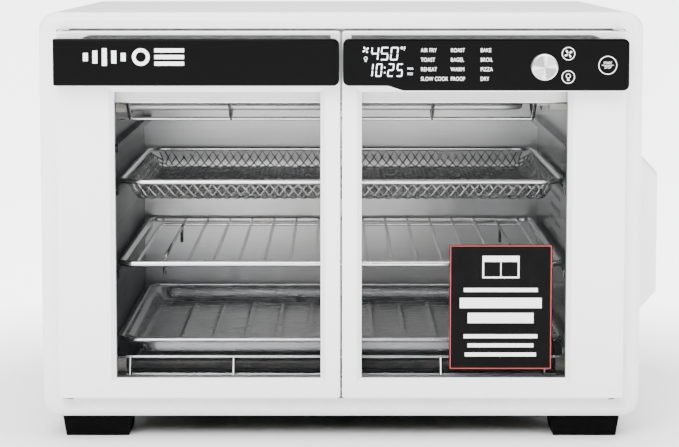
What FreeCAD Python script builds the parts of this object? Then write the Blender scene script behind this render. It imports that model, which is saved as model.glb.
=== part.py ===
import FreeCAD, Part
import Sketcher
import os

# A countertop air-fryer toaster oven with two French doors.
# Drawing coordinates, in millimetres: x = 0 is the casing's middle, y = 0 the front frame's face
# (the doors stand in front of it, at negative y) and z = 0 the worktop. The Placement of every
# sub-part then moves it by ORIGIN_X and ORIGIN_Y, which puts the document's origin at the centre
# of the oven's whole footprint, on the worktop.

doc = FreeCAD.newDocument("toaster_oven")

SIZES = [
    # casing and front frame
    ("casing_width", 456, "outside width of the painted casing"),
    ("casing_height", 309, "outside height of the casing without its feet"),
    ("casing_depth", 345, "front frame's face to the casing's rear edge"),
    ("casing_sheet", 1.0, "casing sheet"),
    ("casing_corner", 14, "radius of the casing's long corners"),
    ("return_flange", 70, "width of the casing's flanges under the oven"),
    ("frame_depth", 14, "front frame, front to back"),
    ("frame_side", 13.7, "front frame's side bars"),
    ("frame_top", 12, "front frame's top bar"),
    ("frame_bottom", 15, "front frame's bottom bar"),
    ("frame_nose", 8, "radius round the frame's front edge"),
    ("frame_wall", 2.2, "wall of the frame's hollow section"),
    ("frame_web", 1, "metal behind the frame's rounded edge"),
    ("opening_corner", 3, "corner radius of the door opening"),
    ("pan_sheet", 1.2, "base pan and rear panel sheet"),
    ("pan_fold", 9, "height of the base pan's folded sides"),
    ("pan_clear", 1, "base pan's clearance in front and behind"),
    ("rear_inset", 3, "rear panel's outside face, in from the casing's rear edge"),
    ("rear_clear", 0.3, "rear panel's clearance inside the casing"),
    ("slot_length", 34, "rear vent slot length"),
    ("slot_width", 3, "rear vent slot width"),
    ("slot_pitch", 9, "rear vent slots, one above the next"),
    ("slots_down", 40, "rear vents' uppermost slot below the rear panel's upper edge"),
    ("slots_inner", 60, "inner columns of rear vents, out from the middle"),
    ("slots_outer", 110, "outer columns of rear vents, out from the middle"),
    # feet
    ("foot_height", 17, "worktop to the casing"),
    ("foot_width", 53, "foot, side to side"),
    ("foot_length", 46, "foot, front to back"),
    ("foot_taper", 2.5, "how far each side of a foot leans in towards the worktop"),
    ("foot_inset", 14, "foot's outer side, in from the casing's side"),
    ("foot_setback", 12, "feet, back from the frame's face and in from the rear edge"),
    ("foot_web", 7, "solid part of a foot, over the bore for its screw's head"),
    # side cover over the fan motor
    ("cover_depth", 20, "how far the fan motor's cover stands out of the right side"),
    ("cover_front", 40, "cover's front edge, back from the frame's face"),
    ("cover_length", 220, "cover, front to back"),
    ("cover_up", 64, "cover's base above the fan's axis"),
    ("cover_down", 67, "cover's base below the fan's axis"),
    ("cover_slope_low", 16, "slope of the cover's lower side"),
    ("cover_wall", 1.5, "cover wall"),
    ("cover_round", 8, "radius of the cover's slanting corners"),
    ("cover_slot", 4, "width of the cover's slots"),
    ("cover_slot_half", 18, "half the height of the cover's slots"),
    ("cover_slot_pitch", 9.4, "cover's slots, one behind the next"),
    ("motor_clear", 6, "casing's window round the fan motor"),
    # cavity
    ("cavity_sheet", 0.8, "cavity liner sheet"),
    ("cavity_side_gap", 51, "cavity's inner side wall to the casing's side"),
    ("cavity_rear_gap", 23, "cavity's back wall to the casing's rear edge"),
    ("cavity_floor_up", 14, "cavity floor above the casing's underside"),
    ("cavity_roof_down", 58, "cavity ceiling below the casing's top"),
    ("header_drop", 10.5, "front flange's lower edge below the ceiling"),
    ("flange_sheet", 1.0, "front flange sheet"),
    ("flange_lap", 6, "how far the front flange reaches behind the front frame"),
    ("rail_reach", 7, "shelf rail, out from the side wall"),
    ("rail_height", 9, "shelf rail, top to bottom"),
    ("rail_face", 5, "flat part of the shelf rail"),
    ("shelf_clear", 0.3, "shelf's clearance over its rail"),
    ("shelf_side_gap", 3.5, "shelf to the side wall"),
    ("shelf_front", 35, "shelves' front edge, back from the frame's face"),
    ("shelf_rear_gap", 3, "shelves' rear edge to the cavity's back wall"),
    # shelves
    ("basket_drop", 74, "basket's rim below the cavity ceiling"),
    ("tray_up", 39.5, "baking tray's rim above the cavity floor"),
    ("rack_offset", 2.0, "wire rack below the middle between basket and tray"),
    ("spare_rail_up", 33, "spare rail above the basket's rail"),
    ("basket_deep", 15, "basket depth below its rim"),
    ("basket_slope", 10, "how far the basket's sides lean in"),
    ("basket_wall", 1.0, "basket mesh thickness"),
    ("basket_corner", 18, "basket's corner radius"),
    ("basket_round", 4, "how much rounder the mesh's corners are than the rim's"),
    ("basket_rod", 2.0, "basket rim rod radius"),
    ("rack_rod", 2.4, "rack frame rod radius"),
    ("rack_corner", 9, "rack frame corner radius"),
    ("rack_wire", 1.4, "rack wire radius"),
    ("rack_tie", 1.45, "radius of the tie under the rack's wires"),
    ("rack_end", 11, "rack's last wire to its frame's centre line"),
    ("rack_tie_in", 14, "tie in front of the rack's rear bar"),
    ("tray_deep", 12, "baking tray depth"),
    ("tray_slope", 8, "how far the tray's sides lean in"),
    ("tray_sheet", 0.8, "baking tray sheet"),
    ("tray_corner", 15, "baking tray's corner radius"),
    ("tray_rod", 1.9, "radius of the tray's rolled rim"),
    ("tray_flange", 4, "tray's flange between its rim and its pan"),
    ("tray_tighter", 1, "how much tighter the flange's inner corners are than its outer ones"),
    ("crumb_gap", 6, "crumb tray to the side walls"),
    ("crumb_front", 24, "crumb tray's front edge, back from the frame's face"),
    ("crumb_rear_gap", 8, "crumb tray's rear edge to the cavity's back wall"),
    ("crumb_lip", 4, "crumb tray lip height"),
    # heaters
    ("lower_tube", 4.75, "lower heater radius"),
    ("lower_up", 16.6, "lower heaters above the cavity floor"),
    ("lower_front", 60, "front lower heater, back from the frame's face"),
    ("lower_rear_gap", 82, "rear lower heater to the cavity's back wall"),
    ("upper_tube", 3.2, "upper heater radius"),
    ("upper_down", 18, "upper heater below the ceiling"),
    ("upper_front", 75, "front leg of the upper heater, back from the frame's face"),
    ("upper_rear_gap", 97, "rear leg of the upper heater to the cavity's back wall"),
    ("upper_end_gap", 36, "upper heater's bend to the right wall"),
    ("upper_bend", 16, "bend radius of the upper heater"),
    ("insulator_length", 8, "ceramic insulator length"),
    ("insulator_wall", 1.6, "ceramic wall round a heater"),
    ("guard_wire", 1.4, "guard wire radius"),
    ("guard_rung", 1.2, "radius of the wires across the lower guards' feet"),
    ("guard_leg", 1.0, "radius of the lower guards' leaning legs"),
    ("upper_guard_half", 25, "upper guard, half its front-to-back spread"),
    ("upper_guard_high", 12.8, "upper guard's high bars below the ceiling"),
    ("upper_guard_low", 27.8, "upper guard's low bar below the ceiling"),
    ("upper_guard_end", 26, "upper guard's last hoop to the right wall"),
    ("lower_guard_forward", 5, "lower guard's top bar, ahead of the heater"),
    ("lower_guard_half", 11, "lower guard's feet, either side of the heater"),
    ("lower_guard_high", 23, "lower guard's top bar above the cavity floor"),
    ("lower_guard_low", 6.4, "lower guard's feet above the cavity floor"),
    ("lower_guard_end", 17, "lower guard's last hoop to the right wall"),
    ("guard_end", 11, "guards' last left hoop to the left wall"),
    # convection fan
    ("fan_back", 110, "fan axis behind the cover's front edge"),
    ("housing_radius", 60, "fan housing radius"),
    ("housing_depth", 24, "fan housing depth"),
    ("housing_sheet", 0.8, "fan housing sheet"),
    ("impeller_radius", 52, "impeller radius"),
    ("impeller_depth", 14, "impeller blade depth"),
    ("impeller_gap", 5, "impeller to the cavity wall"),
    ("hub_radius", 10, "impeller hub radius"),
    ("shaft_radius", 3, "fan shaft radius"),
    ("shaft_play", 0.05, "radial running clearance of the shafts and pins"),
    ("shaft_end", 2, "fan shaft beyond its motor"),
    ("blade_sheet", 1.2, "impeller's plate and blades"),
    ("blade_root", 0.5, "how far the blades run into the hub"),
    ("blade_short", 0.5, "blades' ends, in from the plate's edge"),
    ("motor_width", 56, "fan motor, front to back"),
    ("motor_tall", 48, "fan motor height"),
    ("motor_deep", 30, "fan motor along its shaft"),
    ("stack_deep", 16, "motor's iron core along its shaft"),
    ("bell_inset", 6, "motor's round body, in from the core's height"),
    ("bracket_sheet", 1.5, "thickness of the fan housing's bracket"),
    ("bracket_wider", 14, "bracket beyond the motor, front and back"),
    ("bracket_lower", 4, "bracket short of the motor, above and below"),
    ("vent_hole", 2.5, "radius of the fan's holes in the cavity wall"),
    ("vent_pitch", 12, "fan's holes, one behind the next"),
    # lamp and sensor
    ("lamp_radius", 16, "oven lamp lens radius"),
    ("lamp_rear_gap", 37, "lamp to the cavity's back wall"),
    ("lamp_down", 24, "lamp axis below the ceiling"),
    ("lens_thick", 3, "lamp lens thickness"),
    ("lens_lap", 3, "lamp lens behind the wall, all round"),
    ("holder_deep", 31, "lamp holder behind the lens"),
    ("holder_bore", 16, "depth of the lamp holder's hollow"),
    ("bulb_radius", 6, "lamp bulb radius"),
    ("bulb_gap", 2, "lamp bulb to the lens"),
    ("bulb_round", 5, "radius of the bulb's tip"),
    ("sensor_back", 60, "temperature sensor, back from the frame's face"),
    ("sensor_down", 15, "temperature sensor below the ceiling"),
    ("sensor_long", 14, "sensor's ceramic block, out from the wall"),
    ("sensor_half", 5, "half the block, front to back"),
    ("sensor_tall", 4, "half the block's height"),
    ("probe_long", 12, "sensor's probe beyond its block"),
    ("probe_radius", 1.5, "sensor's probe radius"),
    # doors
    ("door_proud", 10, "door face in front of the frame's face"),
    ("door_side_gap", 0.5, "door to the frame at the hinge"),
    ("door_end_gap", 1.8, "door to the frame above and below"),
    ("door_middle_gap", 1.3, "gap between the two doors"),
    ("door_corner", 2.5, "door's corner radius"),
    ("door_edge", 1.2, "radius round the door's front edges"),
    ("window_outer", 43.3, "window's side, in from the door's hinge edge"),
    ("window_inner", 14.85, "window's side, in from the door's free edge"),
    ("window_below", 15.2, "window's sill above the door's lower edge"),
    ("window_above", 45.6, "window's top below the door's upper edge"),
    ("window_bevel", 3.6, "bevel round the window"),
    ("glass_thick", 4, "window glass"),
    ("glass_lap", 3.5, "glass behind the panel, all round"),
    ("liner_depth", 11, "door liner depth"),
    ("liner_inset", 8, "door liner, in from the door's edges"),
    ("liner_free_inset", 5.5, "door liner, in from the door's free edge"),
    ("liner_sheet", 1.2, "door liner sheet"),
    ("liner_step", 1, "liner's opening beyond the window"),
    ("liner_screw_deep", 6, "liner screws inside the door panel"),
    ("liner_screw_out", 8, "hinge side's screws, in from the liner's edge"),
    ("liner_screw_in", 3.9, "free side's screws, in from the liner's edge"),
    ("liner_screw_low", 5, "lower screws above the liner's edge"),
    ("liner_screw_high", 8, "upper screws below the liner's edge"),
    ("label_width", 78, "width of the printed label on the right window"),
    ("label_height", 95.6, "label height"),
    ("label_side", 10.5, "label to the window's hinge side"),
    ("label_up", 6, "label above the window's sill"),
    ("label_thick", 0.2, "label film"),
    # hinges and catches
    ("pivot_in", 4.3, "hinge pin's axis, in from the door's edge"),
    ("pivot_back", 3.0, "hinge pin's axis behind the door's face"),
    ("pin_radius", 1.5, "hinge pin radius"),
    ("pin_reach", 12, "hinge pin inside the door"),
    ("hinge_tab", 1.1, "hinge tab thickness"),
    ("hinge_reach", 6, "hinge tab, in from the pin's axis"),
    ("hinge_back", 0.3, "hinge tab's front end behind the door's face"),
    ("hinge_short", 1, "hinge tab's rear end, in from the frame's back"),
    ("pin_clear", 0.5, "hinge pin's hole beyond its end"),
    ("washer_radius", 2.6, "hinge washer radius"),
    ("washer_thick", 0.5, "hinge washer thickness"),
    ("magnet_long", 20, "magnet catch length"),
    ("magnet_tall", 8, "magnet catch height"),
    ("magnet_gap", 0.4, "magnet catch to the closed door's liner"),
    ("magnet_in", 9, "magnet catch, out from the liner's free edge"),
    ("magnet_down", 4, "magnet catch below the liner's upper edge"),
    # handle strip and control panel
    ("strip_depth", 16, "black strips in front of the doors' faces"),
    ("strip_down", 5.0, "strips' upper edge below the doors' upper edge"),
    ("strip_height", 35, "strip height"),
    ("strip_step", 3.6, "how much deeper the control panel is beyond its slant"),
    ("slant_from", 35, "slant's start, out from the oven's middle"),
    ("slant_run", 11, "slant's run"),
    ("strip_free_gap", 0.75, "strip's free end, in from the door's free edge"),
    ("strip_round", 4.5, "strip's corner radius"),
    ("strip_end", 1.2, "strip's corner radius at the left hinge"),
    ("strip_edge", 1.5, "radius round the strips' front edges"),
    ("grip_deep", 6, "finger pocket, as deep in the strip as in the door"),
    ("grip_tall", 19, "finger pocket below the strip's upper edge"),
    ("grip_over", 2.2, "finger pocket above the strip's upper edge"),
    ("grip_outer", 20, "finger pocket's end, in from the door's hinge edge"),
    ("grip_slant", 6, "slant at that end"),
    ("grip_inner", 7, "finger pocket's other end, in from the door's free edge"),
    ("strip_wall", 2.5, "wall of the strips"),
    ("strip_end_wall", 3.5, "wall of the strips at their ends"),
    ("chamber_wall", 1.5, "wall between the panel's chamber and the finger pocket"),
    ("board_gap", 0.5, "board to the panel's upper and lower walls"),
    ("board_sheet", 1.6, "printed circuit boards"),
    ("display_long", 46, "display module, side to side"),
    ("display_tall", 21, "display module height"),
    ("display_thick", 3.5, "display module thickness"),
    ("display_in", 16, "display module, out from the oven's middle"),
    ("display_lift", 2, "display module's middle above the left strip's middle"),
    # knob
    ("knob_radius", 9.6, "control knob radius"),
    ("knob_height", 11, "control knob height"),
    ("knob_gap", 0.6, "knob to the panel's face"),
    ("knob_in", 63.8, "knob's axis, in from the door's hinge edge"),
    ("knob_down", 20.6, "knob's axis below the strip's upper edge"),
    ("knob_shaft", 3, "knob shaft radius"),
    ("knob_chamfer", 0.8, "chamfer round the knob's face"),
    ("knob_bore", 8, "knob's bore for its shaft"),
    ("knob_recess", 2.5, "recess behind the knob, round the bushing"),
    ("recess_gap", 0.6, "recess to the bushing"),
    ("bushing_wall", 1.6, "wall of the encoder's bushing"),
    ("bushing_out", 1.5, "encoder's bushing in front of the panel"),
    ("bushing_play", 0.2, "bushing's clearance in the panel"),
    ("board_play", 0.3, "knob shaft's clearance in the board"),
    ("encoder_side", 13, "encoder's square body"),
    # fasteners and cord outlet
    ("screw_shank", 1.5, "small screw shank radius"),
    ("screw_head", 2.9, "small screw head radius"),
    ("head_height", 1.3, "small screw head height"),
    ("foot_screw", 2.0, "foot screw shank radius"),
    ("foot_screw_head", 2.4, "foot screw head height"),
    ("foot_screw_play", 0.5, "foot screw head's clearance in its bore"),
    ("foot_screw_end", 5, "foot screw beyond the base pan"),
    ("rear_screw_end", 5, "rear screws inside the rear panel"),
    ("rear_screw_side", 12, "rear screws, in from the casing's sides"),
    ("rear_screw_high", 20, "rear screws, in from the casing's top and underside"),
    ("gland_bore", 3.6, "cord gland bore radius"),
    ("gland_neck", 7, "cord gland neck radius"),
    ("gland_flange", 10, "cord gland flange radius"),
    ("gland_length", 9, "cord gland length"),
    ("gland_in", 70, "cord gland, in from the casing's right side"),
    ("gland_up", 40, "cord gland above the casing's underside"),
    # power board over the cavity
    ("power_left", 60, "power board's left edge, right of the oven's middle"),
    ("power_long", 105, "power board, side to side"),
    ("power_front", 60, "power board's front edge, back from the frame's face"),
    ("power_wide", 90, "power board, front to back"),
    ("post_height", 12, "posts under the power board"),
    ("post_radius", 3.5, "post radius"),
    ("post_inset", 6, "posts, in from the power board's edges"),
]

sheet = doc.addObject("Spreadsheet::Sheet", "dim")
for row, (alias, number, note) in enumerate(SIZES, 1):
    sheet.set(f"A{row}", note)
    sheet.set(f"B{row}", str(number))
    sheet.setAlias(f"B{row}", alias)
doc.recompute()

# ---- places worked out from the driving dimensions, as expressions on the sheet ----
ORIGIN_X = "-dim.cover_depth / 2"
ORIGIN_Y = (
    "-(dim.casing_depth - dim.door_proud - dim.strip_depth - dim.knob_gap - dim.knob_height) / 2"
)
HALF = "(dim.casing_width / 2)"
BOTTOM = "dim.foot_height"
TOP = "(dim.foot_height + dim.casing_height)"
REAR = "dim.casing_depth"
OPEN_SIDE = f"({HALF} - dim.frame_side)"
OPEN_LOW = f"({BOTTOM} + dim.frame_bottom)"
OPEN_HIGH = f"({TOP} - dim.frame_top)"
REAR_FACE = f"({REAR} - dim.rear_inset)"

CAVITY_SIDE = f"({HALF} - dim.cavity_side_gap)"
CAVITY_FRONT = "(dim.frame_depth + dim.flange_sheet)"
CAVITY_BACK = f"({REAR} - dim.cavity_rear_gap)"
FLOOR = f"({BOTTOM} + dim.cavity_floor_up)"
ROOF = f"({TOP} - dim.cavity_roof_down)"
SHELF_SIDE = f"({CAVITY_SIDE} - dim.shelf_side_gap)"
SHELF_BACK = f"({CAVITY_BACK} - dim.shelf_rear_gap)"

BASKET_Z = f"({ROOF} - dim.basket_drop)"
TRAY_Z = f"({FLOOR} + dim.tray_up)"
RACK_Z = f"(({BASKET_Z} + {TRAY_Z}) / 2 - dim.rack_offset)"
BASKET_RAIL = f"({BASKET_Z} - dim.basket_rod - dim.shelf_clear)"
RACK_RAIL = f"({RACK_Z} - dim.rack_rod - dim.shelf_clear)"
TRAY_RAIL = f"({TRAY_Z} - dim.tray_rod - dim.shelf_clear)"
SPARE_RAIL = f"({BASKET_RAIL} + dim.spare_rail_up)"
RAILS = [TRAY_RAIL, RACK_RAIL, BASKET_RAIL, SPARE_RAIL]

FAN_Y = "(dim.cover_front + dim.fan_back)"
FAN_Z = f"(({RACK_RAIL} + {BASKET_RAIL} - dim.rail_height) / 2)"
WALL_OUT = f"({CAVITY_SIDE} + dim.cavity_sheet)"
HOUSING_BACK = f"({WALL_OUT} + dim.housing_depth)"
MOTOR_FRONT = f"({HOUSING_BACK} + dim.bracket_sheet)"

DOOR_FACE = "(-dim.door_proud)"
DOOR_OUT = f"({OPEN_SIDE} - dim.door_side_gap)"
DOOR_IN = "(dim.door_middle_gap / 2)"
DOOR_LOW = f"({OPEN_LOW} + dim.door_end_gap)"
DOOR_HIGH = f"({OPEN_HIGH} - dim.door_end_gap)"
WINDOW_OUT = f"({DOOR_OUT} - dim.window_outer)"
WINDOW_IN = f"({DOOR_IN} + dim.window_inner)"
WINDOW_LOW = f"({DOOR_LOW} + dim.window_below)"
WINDOW_HIGH = f"({DOOR_HIGH} - dim.window_above)"
PIVOT_X = f"({DOOR_OUT} - dim.pivot_in)"
PIVOT_Y = f"({DOOR_FACE} + dim.pivot_back)"

STRIP_FACE = f"({DOOR_FACE} - dim.strip_depth)"
STRIP_TOP = f"({DOOR_HIGH} - dim.strip_down)"
STRIP_LOW = f"({STRIP_TOP} - dim.strip_height)"
STRIP_IN = f"({DOOR_IN} + dim.strip_free_gap)"
GRIP_LOW = f"({STRIP_TOP} - dim.grip_tall)"
KNOB_X = f"({DOOR_OUT} - dim.knob_in)"
KNOB_Z = f"({STRIP_TOP} - dim.knob_down)"
KNOB_BACK = f"({STRIP_FACE} - dim.knob_gap)"
BOARD_FRONT = f"({STRIP_FACE} + dim.strip_wall + dim.display_thick)"
BOARD_BACK = f"({BOARD_FRONT} + dim.board_sheet)"

PAST = "1"  # how far a cut runs past the metal

RACK_WIRES = 17
GUARD_HOOPS = 5
IMPELLER_BLADES = 8
SLOT_ROWS = 8
COVER_SLOTS = 11
FAN_HOLE_ROWS, FAN_HOLE_COLUMNS = 4, 7
SIDES = [("left", "-1"), ("right", "1")]
PLANES = {"x": "YZ_Plane", "y": "XZ_Plane", "z": "XY_Plane"}
TURNS = {
    "x": FreeCAD.Rotation(FreeCAD.Vector(0, 0, 1), FreeCAD.Vector(1, 0, 0)),
    "y": FreeCAD.Rotation(FreeCAD.Vector(0, 0, 1), FreeCAD.Vector(0, 1, 0)),
    "z": FreeCAD.Rotation(),
}
TOUCH = 1e-4

sub_parts = []


def value(expression):
    """The number that an expression on the sheet gives."""
    return float(sheet.evalExpression(expression))


def finish(piece, label):
    """Name a sub-part and place it in the oven's own frame."""
    piece.Label = label
    piece.setExpression("Placement.Base.x", ORIGIN_X)
    piece.setExpression("Placement.Base.y", ORIGIN_Y)
    sub_parts.append(piece)
    return piece


# ---- bodies drawn with sketches ----
def new_body(name):
    return doc.addObject("PartDesign::Body", name + "_body")


def origin_feature(body, role):
    return [item for item in body.Origin.OriginFeatures if item.Role == role][0]


def rect(a_low, a_high, b_low, b_high):
    return [(a_low, b_low), (a_high, b_low), (a_high, b_high), (a_low, b_high)]


def circle(a, b, radius):
    return (a, b, radius)


def pin_point(sketch, geometry, vertex, point):
    """Hold a sketch vertex at a pair of expressions, measured from the sketch's origin."""
    for kind, expression in zip(("DistanceX", "DistanceY"), point):
        number = value(expression)
        index = sketch.addConstraint(Sketcher.Constraint(kind, -1, 1, geometry, vertex, number))
        sketch.setExpression(f"Constraints[{index}]", expression)


def draw(body, axis, at, shapes):
    """A sketch square to axis at the place `at`, holding polygons (lists) and circles (tuples)."""
    sketch = body.newObject("Sketcher::SketchObject", "sketch")
    sketch.AttachmentSupport = [(origin_feature(body, PLANES[axis]), "")]
    sketch.MapMode = "FlatFace"
    sketch.setExpression("AttachmentOffset.Base.z", f"-({at})" if axis == "y" else at)
    for shape in shapes:
        if isinstance(shape, tuple):
            centre = FreeCAD.Vector(value(shape[0]), value(shape[1]), 0)
            ring = Part.Circle(centre, FreeCAD.Vector(0, 0, 1), value(shape[2]))
            index = sketch.addGeometry(ring, False)
            pin_point(sketch, index, 3, shape[:2])
            number = sketch.addConstraint(
                Sketcher.Constraint("Radius", index, value(shape[2]))
            )
            sketch.setExpression(f"Constraints[{number}]", shape[2])
            continue
        corners = [FreeCAD.Vector(value(a), value(b), 0) for a, b in shape]
        lines = []
        for start, end in zip(corners, corners[1:] + corners[:1]):
            lines.append(sketch.addGeometry(Part.LineSegment(start, end), False))
        for line, following in zip(lines, lines[1:] + lines[:1]):
            sketch.addConstraint(Sketcher.Constraint("Coincident", line, 2, following, 1))
        for line, point in zip(lines, shape):
            pin_point(sketch, line, 1, point)
    return sketch


def pad(body, axis, low, high, *shapes):
    feature = body.newObject("PartDesign::Pad", "pad")
    feature.Profile = draw(body, axis, low, shapes)
    feature.setExpression("Length", f"({high}) - ({low})")
    feature.Reversed = axis == "y"
    doc.recompute()
    return feature


def pocket(body, axis, low, high, *shapes):
    """Cut shapes out of a body from low to high, and make sure that something was cut."""
    before = body.Tip.Shape.Volume
    feature = body.newObject("PartDesign::Pocket", "pocket")
    feature.Profile = draw(body, axis, low, shapes)
    feature.setExpression("Length", f"({high}) - ({low})")
    feature.Reversed = axis != "y"
    doc.recompute()
    if feature.Shape.Volume > before - TOUCH:
        raise RuntimeError(f"{body.Name}: a pocket cut nothing")
    return feature


def repeat(body, feature, axis, length, count):
    """Repeat a pocket along an axis of the body."""
    pattern = body.newObject("PartDesign::LinearPattern", "pattern")
    pattern.Originals = [feature]
    pattern.Direction = (origin_feature(body, axis.upper() + "_Axis"), [""])
    pattern.setExpression("Length", length)
    pattern.Occurrences = count
    body.Tip = pattern
    doc.recompute()
    return pattern


def corner_edges(body, axis, corners):
    """Straight edges along axis, each through one of the given points in the other two axes."""
    others = [i for i, name in enumerate("xyz") if name != axis]
    wanted = [[value(part) for part in corner] for corner in corners]
    names = []
    for number, edge in enumerate(body.Tip.Shape.Edges, 1):
        ends = [edge.Vertexes[0].Point, edge.Vertexes[-1].Point]
        near = [
            all(abs(end[i] - place) < TOUCH for end in ends for i, place in zip(others, corner))
            for corner in wanted
        ]
        if any(near):
            names.append(f"Edge{number}")
    return names


def plane_edges(body, axis, at, within=None):
    """Edges in the plane axis = at, and inside a rectangle in the other two axes if given."""
    index = "xyz".index(axis)
    others = [i for i in range(3) if i != index]
    place = value(at)
    limits = [value(part) for part in within] if within else None
    names = []
    for number, edge in enumerate(body.Tip.Shape.Edges, 1):
        box = edge.BoundBox
        low = (box.XMin, box.YMin, box.ZMin)
        high = (box.XMax, box.YMax, box.ZMax)
        if abs(low[index] - place) > TOUCH or abs(high[index] - place) > TOUCH:
            continue
        if limits:
            spans = zip(others, limits[::2], limits[1::2])
            if not all(low[i] > a - TOUCH and high[i] < b + TOUCH for i, a, b in spans):
                continue
        names.append(f"Edge{number}")
    return names


def dress(body, kind, size, edges):
    """A fillet or a chamfer on named edges."""
    before = body.Tip
    feature = body.newObject(f"PartDesign::{kind}", kind.lower())
    feature.Base = (before, edges)
    feature.setExpression("Radius" if kind == "Fillet" else "Size", size)
    doc.recompute()
    return feature


def frustum(body, axis, low, low_sides, high, high_sides):
    """A block with leaning sides between two rectangles square to axis, x or z."""
    wedge = body.newObject("PartDesign::AdditiveWedge", "wedge")
    turn = {"x": FreeCAD.Rotation(-90, 0, 0), "z": FreeCAD.Rotation(0, 0, 90)}[axis]
    wedge.Placement = FreeCAD.Placement(FreeCAD.Vector(), turn)
    wedge.setExpression("Ymin", low)
    wedge.setExpression("Ymax", high)
    for number, (a_low, a_high, b_low, b_high) in (("", low_sides), ("2", high_sides)):
        if axis == "x":
            a_low, a_high = f"-({a_high})", f"-({a_low})"
        else:
            b_low, b_high = f"-({b_high})", f"-({b_low})"
        wedge.setExpression(f"X{number}min", a_low)
        wedge.setExpression(f"X{number}max", a_high)
        wedge.setExpression(f"Z{number}min", b_low)
        wedge.setExpression(f"Z{number}max", b_high)
    doc.recompute()
    return wedge


def leaning_edges(body, axis):
    """The edges that rise along axis."""
    index = "xyz".index(axis)
    names = []
    for number, edge in enumerate(body.Tip.Shape.Edges, 1):
        box = edge.BoundBox
        if (box.XLength, box.YLength, box.ZLength)[index] > TOUCH:
            names.append(f"Edge{number}")
    return names


def hollow(body, axis, places, wall):
    """Leave a shell, open at its flat faces square to axis at the given places."""
    index = "xyz".index(axis)
    faces = []
    for number, face in enumerate(body.Tip.Shape.Faces, 1):
        box = face.BoundBox
        low = (box.XMin, box.YMin, box.ZMin)[index]
        high = (box.XMax, box.YMax, box.ZMax)[index]
        if any(abs(low - value(at)) < TOUCH and abs(high - value(at)) < TOUCH for at in places):
            faces.append(f"Face{number}")
    before = body.Tip
    feature = body.newObject("PartDesign::Thickness", "shell")
    feature.Base = (before, faces)
    feature.setExpression("Value", wall)
    feature.Reversed = True
    feature.Join = 1
    doc.recompute()
    return feature


# ---- rods, blocks and rings made of primitives ----
def rod(axis, at, length, radius):
    """A round bar along an axis from the point `at`, three expressions."""
    bar = doc.addObject("Part::Cylinder", "rod")
    bar.Placement.Rotation = TURNS[axis]
    bar.setExpression("Height", length)
    bar.setExpression("Radius", radius)
    for name, place in zip("xyz", at):
        bar.setExpression(f"Placement.Base.{name}", place)
    return bar


def block(x, y, z):
    """A box between three pairs of expressions."""
    box = doc.addObject("Part::Box", "block")
    for side, name, (low, high) in zip(("Length", "Width", "Height"), "xyz", (x, y, z)):
        box.setExpression(side, f"({high}) - ({low})")
        box.setExpression(f"Placement.Base.{name}", low)
    return box


def bend(at, quarter, bend_radius, radius):
    """A quarter bend of round bar in a level plane, from angle quarter * 90 degrees onwards."""
    arc = doc.addObject("Part::Torus", "bend")
    arc.Angle3 = 90
    arc.Placement.Rotation = FreeCAD.Rotation(FreeCAD.Vector(0, 0, 1), quarter * 90)
    arc.setExpression("Radius1", bend_radius)
    arc.setExpression("Radius2", radius)
    for name, place in zip("xyz", at):
        arc.setExpression(f"Placement.Base.{name}", place)
    return arc


def strut(start, end, radius):
    """A round bar between two points in one plane x = constant, each three expressions."""
    run_y = f"(({end[1]}) - ({start[1]}))"
    run_z = f"(({end[2]}) - ({start[2]}))"
    bar = doc.addObject("Part::Cylinder", "strut")
    bar.setExpression("Height", f"sqrt({run_y} ^ 2 + {run_z} ^ 2)")
    bar.setExpression("Radius", radius)
    lean = FreeCAD.Vector(0, value(run_y), value(run_z))
    bar.Placement.Rotation = FreeCAD.Rotation(FreeCAD.Vector(0, 0, 1), lean)
    for name, place in zip("xyz", start):
        bar.setExpression(f"Placement.Base.{name}", place)
    return bar


def rod_loop(side, front, back, z, corner, radius):
    """A rounded rectangle of round bar about x = 0; side, front and back are its centre line."""
    bars = []
    for sign in ("-1", "1"):
        bars.append(
            rod("y", (f"{sign} * {side}", f"{front} + {corner}", z),
                f"{back} - {front} - 2 * {corner}", radius)
        )
    for place in (front, back):
        bars.append(
            rod("x", (f"-{side} + {corner}", place, z), f"2 * {side} - 2 * {corner}", radius)
        )
    quarters = [("1", back, "-1"), ("-1", back, "-1"), ("-1", front, "1"), ("1", front, "1")]
    for quarter, (sign, place, inwards) in enumerate(quarters):
        centre = (f"{sign} * ({side} - {corner})", f"{place} + {inwards} * {corner}", z)
        bars.append(bend(centre, quarter, corner, radius))
    return bars


def fused(pieces):
    joined = doc.addObject("Part::MultiFuse", "fused")
    joined.Shapes = pieces
    joined.Refine = True
    return joined


def cut(base, tool):
    difference = doc.addObject("Part::Cut", "cut")
    difference.Base = base
    difference.Tool = tool
    return difference


def group(pieces):
    """Separate solids of one kind, kept in one sub-part."""
    compound = doc.addObject("Part::Compound", "group")
    compound.Links = pieces
    return compound


def pan_head_screw(x, z, seat, tip, backwards):
    """A small screw along y: its head stands on the seat, behind it or in front of it."""
    head_low = seat if backwards else f"{seat} - dim.head_height"
    shank_low = tip if backwards else seat
    shank_high = seat if backwards else tip
    head = rod("y", (x, head_low, z), "dim.head_height", "dim.screw_head")
    shank = rod("y", (x, shank_low, z), f"{shank_high} - ({shank_low})", "dim.screw_shank")
    return fused([head, shank])


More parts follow.
